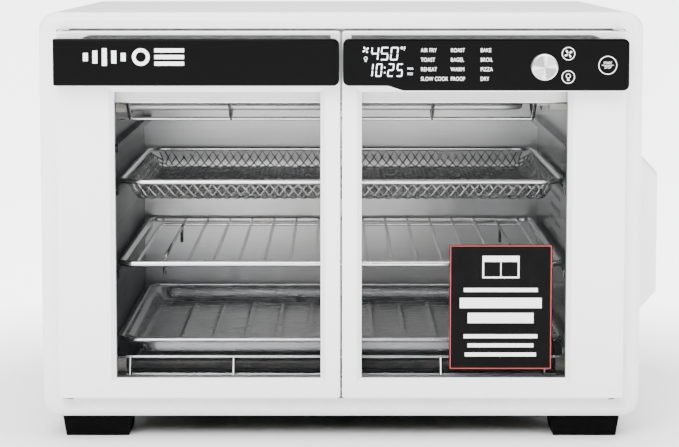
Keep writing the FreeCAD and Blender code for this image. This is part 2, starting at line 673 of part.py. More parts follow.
# ---- casing ----
def outer_casing():
    """Painted sheet wrapped over the top and both sides, with flanges turned in underneath."""
    body = new_body("outer_casing")
    outline = rect(f"-{HALF}", HALF, BOTTOM, TOP)
    pad(body, "y", "dim.frame_depth", REAR, outline)
    corners = [(x, z) for x in (f"-{HALF}", HALF) for z in (BOTTOM, TOP)]
    dress(body, "Fillet", "dim.casing_corner", corner_edges(body, "y", corners))
    inner_side = f"({HALF} - dim.casing_sheet)"
    inner_low = f"({BOTTOM} + dim.casing_sheet)"
    hollow(body, "y", ["dim.frame_depth", REAR], "dim.casing_sheet")
    bay = f"({HALF} - dim.return_flange)"
    mouth = rect(f"-{bay}", bay, f"dim.frame_depth - {PAST}", f"{REAR} + {PAST}")
    pocket(body, "z", BOTTOM, inner_low, mouth)
    half_y, half_z = (f"({side} / 2 + dim.motor_clear)" for side in ("dim.motor_width", "dim.motor_tall"))
    motor_window = rect(f"{FAN_Y} - {half_y}", f"{FAN_Y} + {half_y}",
                        f"{FAN_Z} - {half_z}", f"{FAN_Z} + {half_z}")
    pocket(body, "x", inner_side, HALF, motor_window)
    holes = [circle(x, y, "dim.foot_screw") for _, x, y in foot_middles()]
    pocket(body, "z", BOTTOM, inner_low, *holes)
    return finish(body, "outer_casing")


def foot_middles():
    """Each foot's name, and its middle's x and y."""
    reach = "(dim.foot_setback + dim.foot_length / 2)"
    return [
        (f"{end}_{side}_foot", f"{sign} * ({HALF} - dim.foot_inset - dim.foot_width / 2)", y)
        for end, y in (("front", reach), ("rear", f"({REAR} - {reach})")) for side, sign in SIDES
    ]


def front_frame():
    """Painted frame round the doors, hollow at the back, with a rounded front edge."""
    body = new_body("front_frame")
    pad(body, "y", "0", "dim.frame_depth", rect(f"-{HALF}", HALF, BOTTOM, TOP))
    corners = [(x, z) for x in (f"-{HALF}", HALF) for z in (BOTTOM, TOP)]
    dress(body, "Fillet", "dim.casing_corner", corner_edges(body, "y", corners))
    dress(body, "Fillet", "dim.frame_nose", plane_edges(body, "y", "0"))
    pocket(body, "y", "0", "dim.frame_depth", rect(f"-{OPEN_SIDE}", OPEN_SIDE, OPEN_LOW, OPEN_HIGH))
    corners = [(x, z) for x in (f"-{OPEN_SIDE}", OPEN_SIDE) for z in (OPEN_LOW, OPEN_HIGH)]
    dress(body, "Fillet", "dim.opening_corner", corner_edges(body, "y", corners))
    wall = "dim.frame_wall"
    low, high = f"{BOTTOM} + {wall}", f"{OPEN_LOW} - {wall}"
    groove_front = "dim.frame_nose + dim.frame_web"
    span = rect(f"-{OPEN_SIDE}", OPEN_SIDE, low, high)
    pocket(body, "y", groove_front, "dim.frame_depth", span)
    span = rect(f"-{OPEN_SIDE}", OPEN_SIDE, f"{OPEN_HIGH} + {wall}", f"{TOP} - {wall}")
    pocket(body, "y", groove_front, "dim.frame_depth", span)
    for _, sign in SIDES:
        span = rect(
            f"{sign} * ({OPEN_SIDE} + {wall})", f"{sign} * ({HALF} - {wall})",
            f"{OPEN_LOW} + {wall}", f"{OPEN_HIGH} - {wall}",
        )
        pocket(body, "y", groove_front, "dim.frame_depth", span)
    return finish(body, "front_frame")


def rear_panel():
    """Painted steel back with two columns of vent slots and a hole for the cord gland."""
    body = new_body("rear_panel")
    side = f"({HALF} - dim.casing_sheet - dim.rear_clear)"
    low = f"({BOTTOM} + dim.casing_sheet + dim.rear_clear)"
    high = f"({TOP} - dim.casing_sheet - dim.rear_clear)"
    pad(body, "y", f"{REAR_FACE} - dim.pan_sheet", REAR_FACE, rect(f"-{side}", side, low, high))
    corners = [(x, z) for x in (f"-{side}", side) for z in (low, high)]
    inner_corner = "dim.casing_corner - dim.casing_sheet"
    dress(body, "Fillet", inner_corner, corner_edges(body, "y", corners))
    first = f"({high} - dim.slots_down - {SLOT_ROWS - 1} * dim.slot_pitch)"
    slots = [
        rect(f"{x} - dim.slot_length / 2", f"{x} + dim.slot_length / 2",
             first, f"{first} + dim.slot_width")
        for x in ("-dim.slots_outer", "-dim.slots_inner", "dim.slots_inner", "dim.slots_outer")
    ]
    row = pocket(body, "y", f"{REAR_FACE} - dim.pan_sheet", REAR_FACE, *slots)
    repeat(body, row, "z", f"{SLOT_ROWS - 1} * dim.slot_pitch", SLOT_ROWS)
    gland_x, gland_z = gland_middle()
    gland_hole = circle(gland_x, gland_z, "dim.gland_neck")
    pocket(body, "y", f"{REAR_FACE} - dim.pan_sheet", REAR_FACE, gland_hole)
    holes = [circle(x, z, "dim.screw_shank") for x, z in rear_screw_places()]
    pocket(body, "y", f"{REAR_FACE} - dim.pan_sheet", REAR_FACE, *holes)
    return finish(body, "rear_panel")


def gland_middle():
    return (f"({HALF} - dim.gland_in)", f"({BOTTOM} + dim.gland_up)")


def rear_screw_places():
    side = f"({HALF} - dim.rear_screw_side)"
    inset = "dim.rear_screw_high"
    heights = (f"({BOTTOM} + {inset})", f"(({BOTTOM} + {TOP}) / 2)", f"({TOP} - {inset})")
    return [(f"{sign} * {side}", z) for sign in ("-1", "1") for z in heights]


def base_pan():
    """Galvanised pan inside the casing's flanges, folded up at its sides."""
    body = new_body("base_pan")
    side = f"({HALF} - dim.casing_corner)"
    low = f"({BOTTOM} + dim.casing_sheet)"
    front = f"({CAVITY_FRONT} + dim.pan_clear)"
    back = f"({REAR_FACE} - dim.pan_sheet - dim.pan_clear)"
    pad(body, "z", low, f"{low} + dim.pan_fold", rect(f"-{side}", side, front, back))
    inner = f"({side} - dim.pan_sheet)"
    pocket(body, "z", f"{low} + dim.pan_sheet", f"{low} + dim.pan_fold",
           rect(f"-{inner}", inner, f"{front} - {PAST}", f"{back} + {PAST}"))
    holes = [circle(x, y, "dim.foot_screw") for _, x, y in foot_middles()]
    pocket(body, "z", low, f"{low} + dim.pan_sheet", *holes)
    return finish(body, "base_pan")


def feet():
    """Four moulded feet, each tapering to the worktop and bored for its screw."""
    seat = f"({BOTTOM} - dim.foot_web)"
    head_bore = "2 * dim.foot_screw + dim.foot_screw_play"
    taper = "dim.foot_taper"
    for name, x, y in foot_middles():
        body = new_body("foot")
        left, right = f"{x} - dim.foot_width / 2", f"{x} + dim.foot_width / 2"
        near, far = f"{y} - dim.foot_length / 2", f"{y} + dim.foot_length / 2"
        on_table = (f"{left} + {taper}", f"{right} - {taper}", f"{near} + {taper}", f"{far} - {taper}")
        frustum(body, "z", "0", on_table, BOTTOM, (left, right, near, far))
        pocket(body, "z", "0", seat, circle(x, y, head_bore))
        pocket(body, "z", seat, BOTTOM, circle(x, y, "dim.foot_screw"))
        finish(body, name)


def foot_screws():
    seat = f"{BOTTOM} - dim.foot_web"
    shank_length = "dim.foot_web + dim.casing_sheet + dim.pan_sheet + dim.foot_screw_end"
    screws = []
    for _, x, y in foot_middles():
        head = rod("z", (x, y, f"{seat} - dim.foot_screw_head"), "dim.foot_screw_head",
                   "2 * dim.foot_screw")
        shank = rod("z", (x, y, seat), shank_length, "dim.foot_screw")
        screws.append(fused([head, shank]))
    return finish(group(screws), "foot_screws")


def rear_screws():
    screws = [
        pan_head_screw(x, z, REAR_FACE, f"{REAR_FACE} - dim.pan_sheet - dim.rear_screw_end", True)
        for x, z in rear_screw_places()
    ]
    return finish(group(screws), "rear_screws")


def cord_gland():
    """Moulded gland in the rear panel, where the mains lead comes out."""
    x, z = gland_middle()
    body = new_body("cord_gland")
    front = f"({REAR} - dim.gland_length)"
    pad(body, "y", front, REAR_FACE, circle(x, z, "dim.gland_neck"))
    pad(body, "y", REAR_FACE, REAR, circle(x, z, "dim.gland_flange"))
    pocket(body, "y", front, REAR, circle(x, z, "dim.gland_bore"))
    return finish(body, "cord_gland")


def fan_motor_cover():
    """Painted cover on the right side, a low truncated pyramid with slots in its lower side."""
    body = new_body("fan_motor_cover")
    near, far = "dim.cover_front", "(dim.cover_front + dim.cover_length)"
    low, high = f"({FAN_Z} - dim.cover_down)", f"({FAN_Z} + dim.cover_up)"
    slope = "dim.cover_depth"
    top_of_cover = (f"{near} + {slope}", f"{far} - {slope}",
                    f"{low} + dim.cover_slope_low", f"{high} - {slope}")
    out = f"({HALF} + dim.cover_depth)"
    frustum(body, "x", HALF, (near, far, low, high), out, top_of_cover)
    dress(body, "Fillet", "dim.cover_round", leaning_edges(body, "x"))
    dress(body, "Fillet", "dim.cover_round / 2", plane_edges(body, "x", out))
    hollow(body, "x", [HALF], "dim.cover_wall")
    span = f"{COVER_SLOTS - 1} * dim.cover_slot_pitch"
    first = f"({FAN_Y} - ({span} + dim.cover_slot) / 2)"
    slot = rect(first, f"{first} + dim.cover_slot",
                f"{FAN_Z} - dim.cover_slot_half", f"{FAN_Z} + dim.cover_slot_half")
    row = pocket(body, "x", f"{out} - dim.cover_wall - {PAST}", f"{out} + {PAST}", slot)
    repeat(body, row, "y", span, COVER_SLOTS)
    return finish(body, "fan_motor_cover")


# ---- cavity ----
def side_wall(side, sign):
    """Cavity side: one sheet with four pressed rails that carry the shelves."""
    body = new_body(f"cavity_{side}_wall")
    skin, back = f"{sign} * {CAVITY_SIDE}", f"{sign} * {WALL_OUT}"
    rail = f"{sign} * ({CAVITY_SIDE} - dim.rail_reach)"
    rail_back = f"{sign} * ({CAVITY_SIDE} - dim.rail_reach + dim.cavity_sheet)"
    inside, outside = [(skin, FLOOR)], [(back, FLOOR)]
    for top in RAILS:
        inside += [(skin, f"{top} - dim.rail_height"), (rail, f"{top} - dim.rail_face"),
                   (rail, top), (skin, top)]
        under = f"{top} - dim.cavity_sheet"
        outside += [(back, f"{top} - dim.rail_height"), (rail_back, f"{top} - dim.rail_face"),
                    (rail_back, under), (back, under)]
    inside.append((skin, ROOF))
    outside.append((back, ROOF))
    pad(body, "y", CAVITY_FRONT, CAVITY_BACK, inside + outside[::-1])
    return body


def cavity():
    finish(side_wall("left", "-1"), "cavity_left_wall")
    right = side_wall("right", "1")
    zone = f"({BASKET_RAIL} - dim.rail_height - {RACK_RAIL})"
    pitch_z = f"{zone} / {FAN_HOLE_ROWS + 1}"
    first_z = f"{RACK_RAIL} + {pitch_z}"
    first_y = f"({FAN_Y} - {(FAN_HOLE_COLUMNS - 1) / 2} * dim.vent_pitch)"
    holes = [circle(f"{first_y} + {i} * dim.vent_pitch", first_z, "dim.vent_hole")
             for i in range(FAN_HOLE_COLUMNS)]
    row = pocket(right, "x", CAVITY_SIDE, WALL_OUT, *holes)
    repeat(right, row, "z", f"{FAN_HOLE_ROWS - 1} * {pitch_z}", FAN_HOLE_ROWS)
    lamp_y, lamp_z = lamp_middle()
    lamp_hole = circle(lamp_y, lamp_z, "dim.lamp_radius - dim.lens_lap")
    pocket(right, "x", CAVITY_SIDE, WALL_OUT, lamp_hole)
    finish(right, "cavity_right_wall")

    back = new_body("cavity_back_wall")
    pad(back, "y", CAVITY_BACK, f"{CAVITY_BACK} + dim.cavity_sheet",
        rect(f"-{WALL_OUT}", WALL_OUT, f"{FLOOR} - dim.cavity_sheet", f"{ROOF} + dim.cavity_sheet"))
    finish(back, "cavity_back_wall")

    for label, low in (("cavity_ceiling", ROOF), ("cavity_floor", f"{FLOOR} - dim.cavity_sheet")):
        plate = new_body(label)
        pad(plate, "z", low, f"{low} + dim.cavity_sheet",
            rect(f"-{WALL_OUT}", WALL_OUT, CAVITY_FRONT, CAVITY_BACK))
        finish(plate, label)

    flange = new_body("cavity_front_flange")
    lap = "dim.flange_lap"
    outer = rect(f"-({OPEN_SIDE} + {lap})", f"{OPEN_SIDE} + {lap}",
                 f"{OPEN_LOW} - {lap}", f"{OPEN_HIGH} + {lap}")
    mouth = rect(f"-{CAVITY_SIDE}", CAVITY_SIDE, FLOOR, f"{ROOF} - dim.header_drop")
    pad(flange, "y", "dim.frame_depth", CAVITY_FRONT, outer, mouth)
    finish(flange, "cavity_front_flange")


def lamp_middle():
    return (f"({CAVITY_BACK} - dim.lamp_rear_gap)", f"({ROOF} - dim.lamp_down)")


def oven_lamp():
    """Lamp behind the right wall: a glass lens, and a porcelain holder with its bulb."""
    y, z = lamp_middle()
    lens_back = f"({WALL_OUT} + dim.lens_thick)"
    lens = new_body("lamp_lens")
    pad(lens, "x", WALL_OUT, lens_back, circle(y, z, "dim.lamp_radius"))
    finish(lens, "lamp_lens")
    holder = new_body("lamp_holder")
    hollow_end = f"({lens_back} + dim.holder_bore)"
    bulb_tip = f"({lens_back} + dim.bulb_gap)"
    pad(holder, "x", lens_back, f"{lens_back} + dim.holder_deep", circle(y, z, "dim.lamp_radius"))
    pocket(holder, "x", lens_back, hollow_end, circle(y, z, "dim.lamp_radius - dim.lens_lap"))
    pad(holder, "x", bulb_tip, hollow_end, circle(y, z, "dim.bulb_radius"))
    dress(holder, "Fillet", "dim.bulb_round", plane_edges(holder, "x", bulb_tip))
    finish(holder, "lamp_holder")


def temperature_sensor():
    """Ceramic block on the right wall with a short steel probe pointing into the cavity."""
    body = new_body("temperature_sensor")
    y, z = "dim.sensor_back", f"({ROOF} - dim.sensor_down)"
    block_end = f"({CAVITY_SIDE} - dim.sensor_long)"
    pad(body, "x", block_end, CAVITY_SIDE,
        rect(f"{y} - dim.sensor_half", f"{y} + dim.sensor_half",
             f"{z} - dim.sensor_tall", f"{z} + dim.sensor_tall"))
    pad(body, "x", f"{block_end} - dim.probe_long", block_end, circle(y, z, "dim.probe_radius"))
    return finish(body, "temperature_sensor")


# ---- heaters and their guards ----
def lower_places():
    return [("front", "dim.lower_front"), ("rear", f"({CAVITY_BACK} - dim.lower_rear_gap)")]


def upper_places():
    return [("front", "dim.upper_front"), ("rear", f"({CAVITY_BACK} - dim.upper_rear_gap)")]


def heaters():
    """Two straight lower tubes, and one upper tube bent to a U that is plugged in on the left."""
    lower_z = f"({FLOOR} + dim.lower_up)"
    upper_z = f"({ROOF} - dim.upper_down)"
    for end, y in lower_places():
        tube = new_body("lower_heater")
        pad(tube, "x", f"-{CAVITY_SIDE}", CAVITY_SIDE, circle(y, lower_z, "dim.lower_tube"))
        finish(tube, f"lower_heater_{end}")
    (_, front), (_, rear) = upper_places()
    turn_x = f"({CAVITY_SIDE} - dim.upper_end_gap)"
    leg = f"{turn_x} - dim.upper_bend + {CAVITY_SIDE}"
    tube = [rod("x", (f"-{CAVITY_SIDE}", y, upper_z), leg, "dim.upper_tube") for y in (front, rear)]
    across = f"{rear} - {front} - 2 * dim.upper_bend"
    tube.append(rod("y", (turn_x, f"{front} + dim.upper_bend", upper_z), across, "dim.upper_tube"))
    centre_x = f"{turn_x} - dim.upper_bend"
    for quarter, y in ((3, f"{front} + dim.upper_bend"), (0, f"{rear} - dim.upper_bend")):
        tube.append(bend((centre_x, y, upper_z), quarter, "dim.upper_bend", "dim.upper_tube"))
    finish(fused(tube), "upper_heater")

    bushes = []
    for _, y in lower_places():
        for start in (f"-{CAVITY_SIDE}", f"{CAVITY_SIDE} - dim.insulator_length"):
            bushes.append((start, y, lower_z, "dim.lower_tube"))
    for _, y in upper_places():
        bushes.append((f"-{CAVITY_SIDE}", y, upper_z, "dim.upper_tube"))
    solids = []
    for x, y, z, bore in bushes:
        outside = rod("x", (x, y, z), "dim.insulator_length", f"{bore} + dim.insulator_wall")
        inside = rod("x", (x, y, z), "dim.insulator_length", bore)
        solids.append(cut(outside, inside))
    finish(group(solids), "heater_insulators")


def guard_hoops(end_gap):
    """The hoops' places along x, evenly from the left wall to the last one on the right."""
    first = f"(-{CAVITY_SIDE} + dim.guard_end)"
    last = f"({CAVITY_SIDE} - {end_gap})"
    return [f"({first} + ({last} - {first}) * {i / (GUARD_HOOPS - 1)})" for i in range(GUARD_HOOPS)]


def heater_guards():
    """Wire cages: V-shaped hoops joined by long bars, under the upper heater and over the lower."""
    wire, rung = "dim.guard_wire", "dim.guard_rung"
    for end, y in upper_places():
        high, low = f"({ROOF} - dim.upper_guard_high)", f"({ROOF} - dim.upper_guard_low)"
        near, far = f"({y} - dim.upper_guard_half)", f"({y} + dim.upper_guard_half)"
        hoops = guard_hoops("dim.upper_guard_end")
        wires = [rod("x", (f"-{CAVITY_SIDE}", bar_y, high), f"2 * {CAVITY_SIDE}", wire)
                 for bar_y in (near, far)]
        low_bar = f"{hoops[-1]} + {CAVITY_SIDE} + {wire}"
        wires.append(rod("x", (f"-{CAVITY_SIDE}", y, low), low_bar, wire))
        for x in hoops:
            wires.append(strut((x, near, high), (x, y, low), wire))
            wires.append(strut((x, far, high), (x, y, low), wire))
            wires += [rod("z", (x, post, high), "dim.upper_guard_high", wire) for post in (near, far)]
        finish(fused(wires), f"upper_guard_{end}")
    for end, y in lower_places():
        high, low = f"({FLOOR} + dim.lower_guard_high)", f"({FLOOR} + dim.lower_guard_low)"
        top = f"({y} - dim.lower_guard_forward)"
        near, far = f"({y} - dim.lower_guard_half)", f"({y} + dim.lower_guard_half)"
        wires = [rod("x", (f"-{CAVITY_SIDE}", bar_y, bar_z), f"2 * {CAVITY_SIDE}", wire)
                 for bar_y, bar_z in ((top, high), (near, low), (far, low))]
        for x in guard_hoops("dim.lower_guard_end"):
            wires.append(strut((x, near, low), (x, top, high), "dim.guard_leg"))
            cross = (x, f"{near} - {rung}", f"{low} + {wire}")
            wires.append(rod("y", cross, f"2 * (dim.lower_guard_half + {rung})", rung))
        finish(fused(wires), f"lower_guard_{end}")


# ---- shelves ----
def pan_body(name, z, deep, slope, corner, wall, side, front, back):
    """A pressed pan with leaning sides; side, front and back are its mouth's outside."""
    body = new_body(name)
    low = f"({z} - {deep})"
    floor = (f"-({side} - {slope})", f"{side} - {slope}", f"{front} + {slope}", f"{back} - {slope}")
    frustum(body, "z", low, floor, z, (f"-{side}", side, front, back))
    dress(body, "Fillet", corner, leaning_edges(body, "z"))
    hollow(body, "z", [z], wall)
    return body


def basket():
    """Air-fry basket: a mesh pan hung in a rim of round bar."""
    rim_side = f"({SHELF_SIDE} - dim.basket_rod)"
    front, back = "(dim.shelf_front + dim.basket_rod)", f"({SHELF_BACK} - dim.basket_rod)"
    bars = rod_loop(rim_side, front, back, BASKET_Z, "dim.basket_corner", "dim.basket_rod")
    finish(fused(bars), "basket_rim")
    gap = "dim.basket_rod"
    mesh = pan_body(
        "basket_mesh", BASKET_Z, "dim.basket_deep", "dim.basket_slope",
        "dim.basket_corner + dim.basket_round", "dim.basket_wall",
        f"({rim_side} - {gap})", f"({front} + {gap})", f"({back} - {gap})",
    )
    finish(mesh, "basket_mesh")


def wire_rack():
    """Rack frame of round bar, with thinner wires welded between its front and rear bars."""
    side = f"({SHELF_SIDE} - dim.rack_rod)"
    front, back = "(dim.shelf_front + dim.rack_rod)", f"({SHELF_BACK} - dim.rack_rod)"
    finish(fused(rod_loop(side, front, back, RACK_Z, "dim.rack_corner", "dim.rack_rod")), "rack_frame")
    start = f"({front} + dim.rack_rod)"
    length = f"{back} - dim.rack_rod - {start}"
    first = f"({side} - dim.rack_end)"
    wires = [
        rod("y", (f"{2 * i / (RACK_WIRES - 1) - 1} * {first}", start, RACK_Z), length, "dim.rack_wire")
        for i in range(RACK_WIRES)
    ]
    tie_y = f"({back} - dim.rack_tie_in)"
    tie_z = f"{RACK_Z} - 2 * dim.rack_wire"
    tie_half = f"({side} - dim.rack_corner)"
    wires.append(rod("x", (f"-{tie_half}", tie_y, tie_z), f"2 * {tie_half}", "dim.rack_tie"))
    return finish(fused(wires), "rack_wires")


def baking_tray():
    """Pressed steel tray with a flat flange that ends in a rolled rim."""
    rim_side = f"({SHELF_SIDE} - dim.tray_rod)"
    front, back = "(dim.shelf_front + dim.tray_rod)", f"({SHELF_BACK} - dim.tray_rod)"
    inset = "dim.tray_flange"
    side, near, far = f"({rim_side} - {inset})", f"({front} + {inset})", f"({back} - {inset})"
    low, high = f"({TRAY_Z} - dim.tray_sheet / 2)", f"({TRAY_Z} + dim.tray_sheet / 2)"
    pan = pan_body("tray_pan", high, "dim.tray_deep", "dim.tray_slope",
                   "dim.tray_corner - dim.tray_flange", "dim.tray_sheet", side, near, far)
    flange = new_body("tray_flange")
    pad(flange, "z", low, high, rect(f"-{rim_side}", rim_side, front, back))
    corners = [(x, y) for x in (f"-{rim_side}", rim_side) for y in (front, back)]
    dress(flange, "Fillet", "dim.tray_corner", corner_edges(flange, "z", corners))
    hole_side = f"({side} - dim.tray_sheet)"
    hole = rect(f"-{hole_side}", hole_side, f"{near} + dim.tray_sheet", f"{far} - dim.tray_sheet")
    pocket(flange, "z", low, high, hole)
    corners = [(x, y) for x in (f"-{hole_side}", hole_side)
               for y in (f"{near} + dim.tray_sheet", f"{far} - dim.tray_sheet")]
    inner_corner = "dim.tray_corner - dim.tray_tighter"
    dress(flange, "Fillet", inner_corner, corner_edges(flange, "z", corners))
    bars = rod_loop(rim_side, front, back, TRAY_Z, "dim.tray_corner", "dim.tray_rod")
    return finish(fused([fused([pan, flange]), fused(bars)]), "baking_tray")


def crumb_tray():
    """Flat aluminium tray that lies on the cavity floor, with a low lip all round."""
    body = new_body("crumb_tray")
    low = f"({FLOOR} + dim.shelf_clear)"
    side = f"({CAVITY_SIDE} - dim.crumb_gap)"
    front, back = "dim.crumb_front", f"({CAVITY_BACK} - dim.crumb_rear_gap)"
    pad(body, "z", low, f"{low} + dim.crumb_lip", rect(f"-{side}", side, front, back))
    wall = "dim.tray_sheet"
    pocket(body, "z", f"{low} + {wall}", f"{low} + dim.crumb_lip",
           rect(f"-({side} - {wall})", f"{side} - {wall}", f"{front} + {wall}", f"{back} - {wall}"))
    return finish(body, "crumb_tray")


# ---- convection fan ----
def convection_fan():
    """Impeller in a can behind the right wall's holes, turned by a motor under the side cover."""
    can = new_body("fan_housing")
    pad(can, "x", WALL_OUT, HOUSING_BACK, circle(FAN_Y, FAN_Z, "dim.housing_radius"))
    pocket(can, "x", WALL_OUT, f"{HOUSING_BACK} - dim.housing_sheet",
           circle(FAN_Y, FAN_Z, "dim.housing_radius - dim.housing_sheet"))
    pocket(can, "x", f"{HOUSING_BACK} - dim.housing_sheet", HOUSING_BACK,
           circle(FAN_Y, FAN_Z, "2 * dim.shaft_radius"))
    reach_y = "(dim.motor_width / 2 + dim.bracket_wider)"
    reach_z = "(dim.motor_tall / 2 - dim.bracket_lower)"
    pad(can, "x", HOUSING_BACK, MOTOR_FRONT,
        rect(f"{FAN_Y} - {reach_y}", f"{FAN_Y} + {reach_y}",
             f"{FAN_Z} - {reach_z}", f"{FAN_Z} + {reach_z}"),
        circle(FAN_Y, FAN_Z, "2 * dim.shaft_radius"))
    finish(can, "fan_housing")

    motor = new_body("fan_motor")
    back = f"({MOTOR_FRONT} + dim.motor_deep)"
    half_y, half_z = "dim.motor_width / 2", "dim.motor_tall / 2"
    core = rect(f"{FAN_Y} - {half_y}", f"{FAN_Y} + {half_y}", f"{FAN_Z} - {half_z}", f"{FAN_Z} + {half_z}")
    stack = f"({MOTOR_FRONT} + (dim.motor_deep - dim.stack_deep) / 2)"
    pad(motor, "x", stack, f"{stack} + dim.stack_deep", core)
    bell = circle(FAN_Y, FAN_Z, "dim.motor_tall / 2 - dim.bell_inset")
    pad(motor, "x", MOTOR_FRONT, back, bell)
    pocket(motor, "x", MOTOR_FRONT, back, circle(FAN_Y, FAN_Z, "dim.shaft_radius + dim.shaft_play"))
    finish(motor, "fan_motor")

    hub_front = f"({WALL_OUT} + dim.impeller_gap)"
    hub_back = f"({hub_front} + dim.impeller_depth)"
    shaft = new_body("fan_shaft")
    shaft_end = f"{back} + dim.shaft_end"
    pad(shaft, "x", hub_front, shaft_end, circle(FAN_Y, FAN_Z, "dim.shaft_radius"))
    finish(shaft, "fan_shaft")
    fan = new_body("fan_impeller")
    pad(fan, "x", hub_front, hub_back, circle(FAN_Y, FAN_Z, "dim.hub_radius"))
    plate_back = f"({hub_front} + dim.blade_sheet)"
    pad(fan, "x", hub_front, plate_back, circle(FAN_Y, FAN_Z, "dim.impeller_radius"))
    pocket(fan, "x", hub_front, hub_back, circle(FAN_Y, FAN_Z, "dim.shaft_radius"))
    pieces = [fan]
    for i in range(IMPELLER_BLADES):
        long = "dim.impeller_radius - dim.blade_short - dim.hub_radius + dim.blade_root"
        blade = block((plate_back, hub_back), ("0", long), ("0", "dim.blade_sheet"))
        turn = FreeCAD.Rotation(FreeCAD.Vector(1, 0, 0), 360 / IMPELLER_BLADES * i)
        blade.Placement.Rotation = turn
        out = turn.multVec(FreeCAD.Vector(0, 1, 0))
        root = "(dim.hub_radius - dim.blade_root)"
        blade.setExpression("Placement.Base.y", f"{FAN_Y} + {out.y:.6f} * {root}")
        blade.setExpression("Placement.Base.z", f"{FAN_Z} + {out.z:.6f} * {root}")
        pieces.append(blade)
    finish(fused(pieces), "fan_impeller")


# ---- electronics above the cavity ----
def power_board():
    """Power board over the cavity on nylon posts, with its relay, capacitor and transformer."""
    low = f"({ROOF} + dim.cavity_sheet)"
    board_low = f"({low} + dim.post_height)"
    board_high = f"({board_low} + dim.board_sheet)"
    left, near = "dim.power_left", "dim.power_front"
    right, far = f"({left} + dim.power_long)", f"({near} + dim.power_wide)"
    inset = "dim.post_inset"
    posts = [
        rod("z", (x, y, low), "dim.post_height", "dim.post_radius")
        for x in (f"{left} + {inset}", f"{right} - {inset}")
        for y in (f"{near} + {inset}", f"{far} - {inset}")
    ]
    board = block((left, right), (near, far), (board_low, board_high))
    # Each part's corner on the board, its width, its length and its height.
    transformer, relay = (10, 20, 30, 26, 20), (52, 15, 19, 16, 15)
    boxes = [
        block((f"{left} + {x}", f"{left} + {x + wide}"), (f"{near} + {y}", f"{near} + {y + deep}"),
              (board_high, f"{board_high} + {tall}"))
        for x, y, wide, deep, tall in (transformer, relay)
    ]
    # The capacitor's middle on the board, its height and its radius.
    x, y, tall, radius = 86, 60, 18, 8
    can = rod("z", (f"{left} + {x}", f"{near} + {y}", board_high), str(tall), str(radius))
    finish(fused(posts + [board] + boxes + [can]), "power_board")


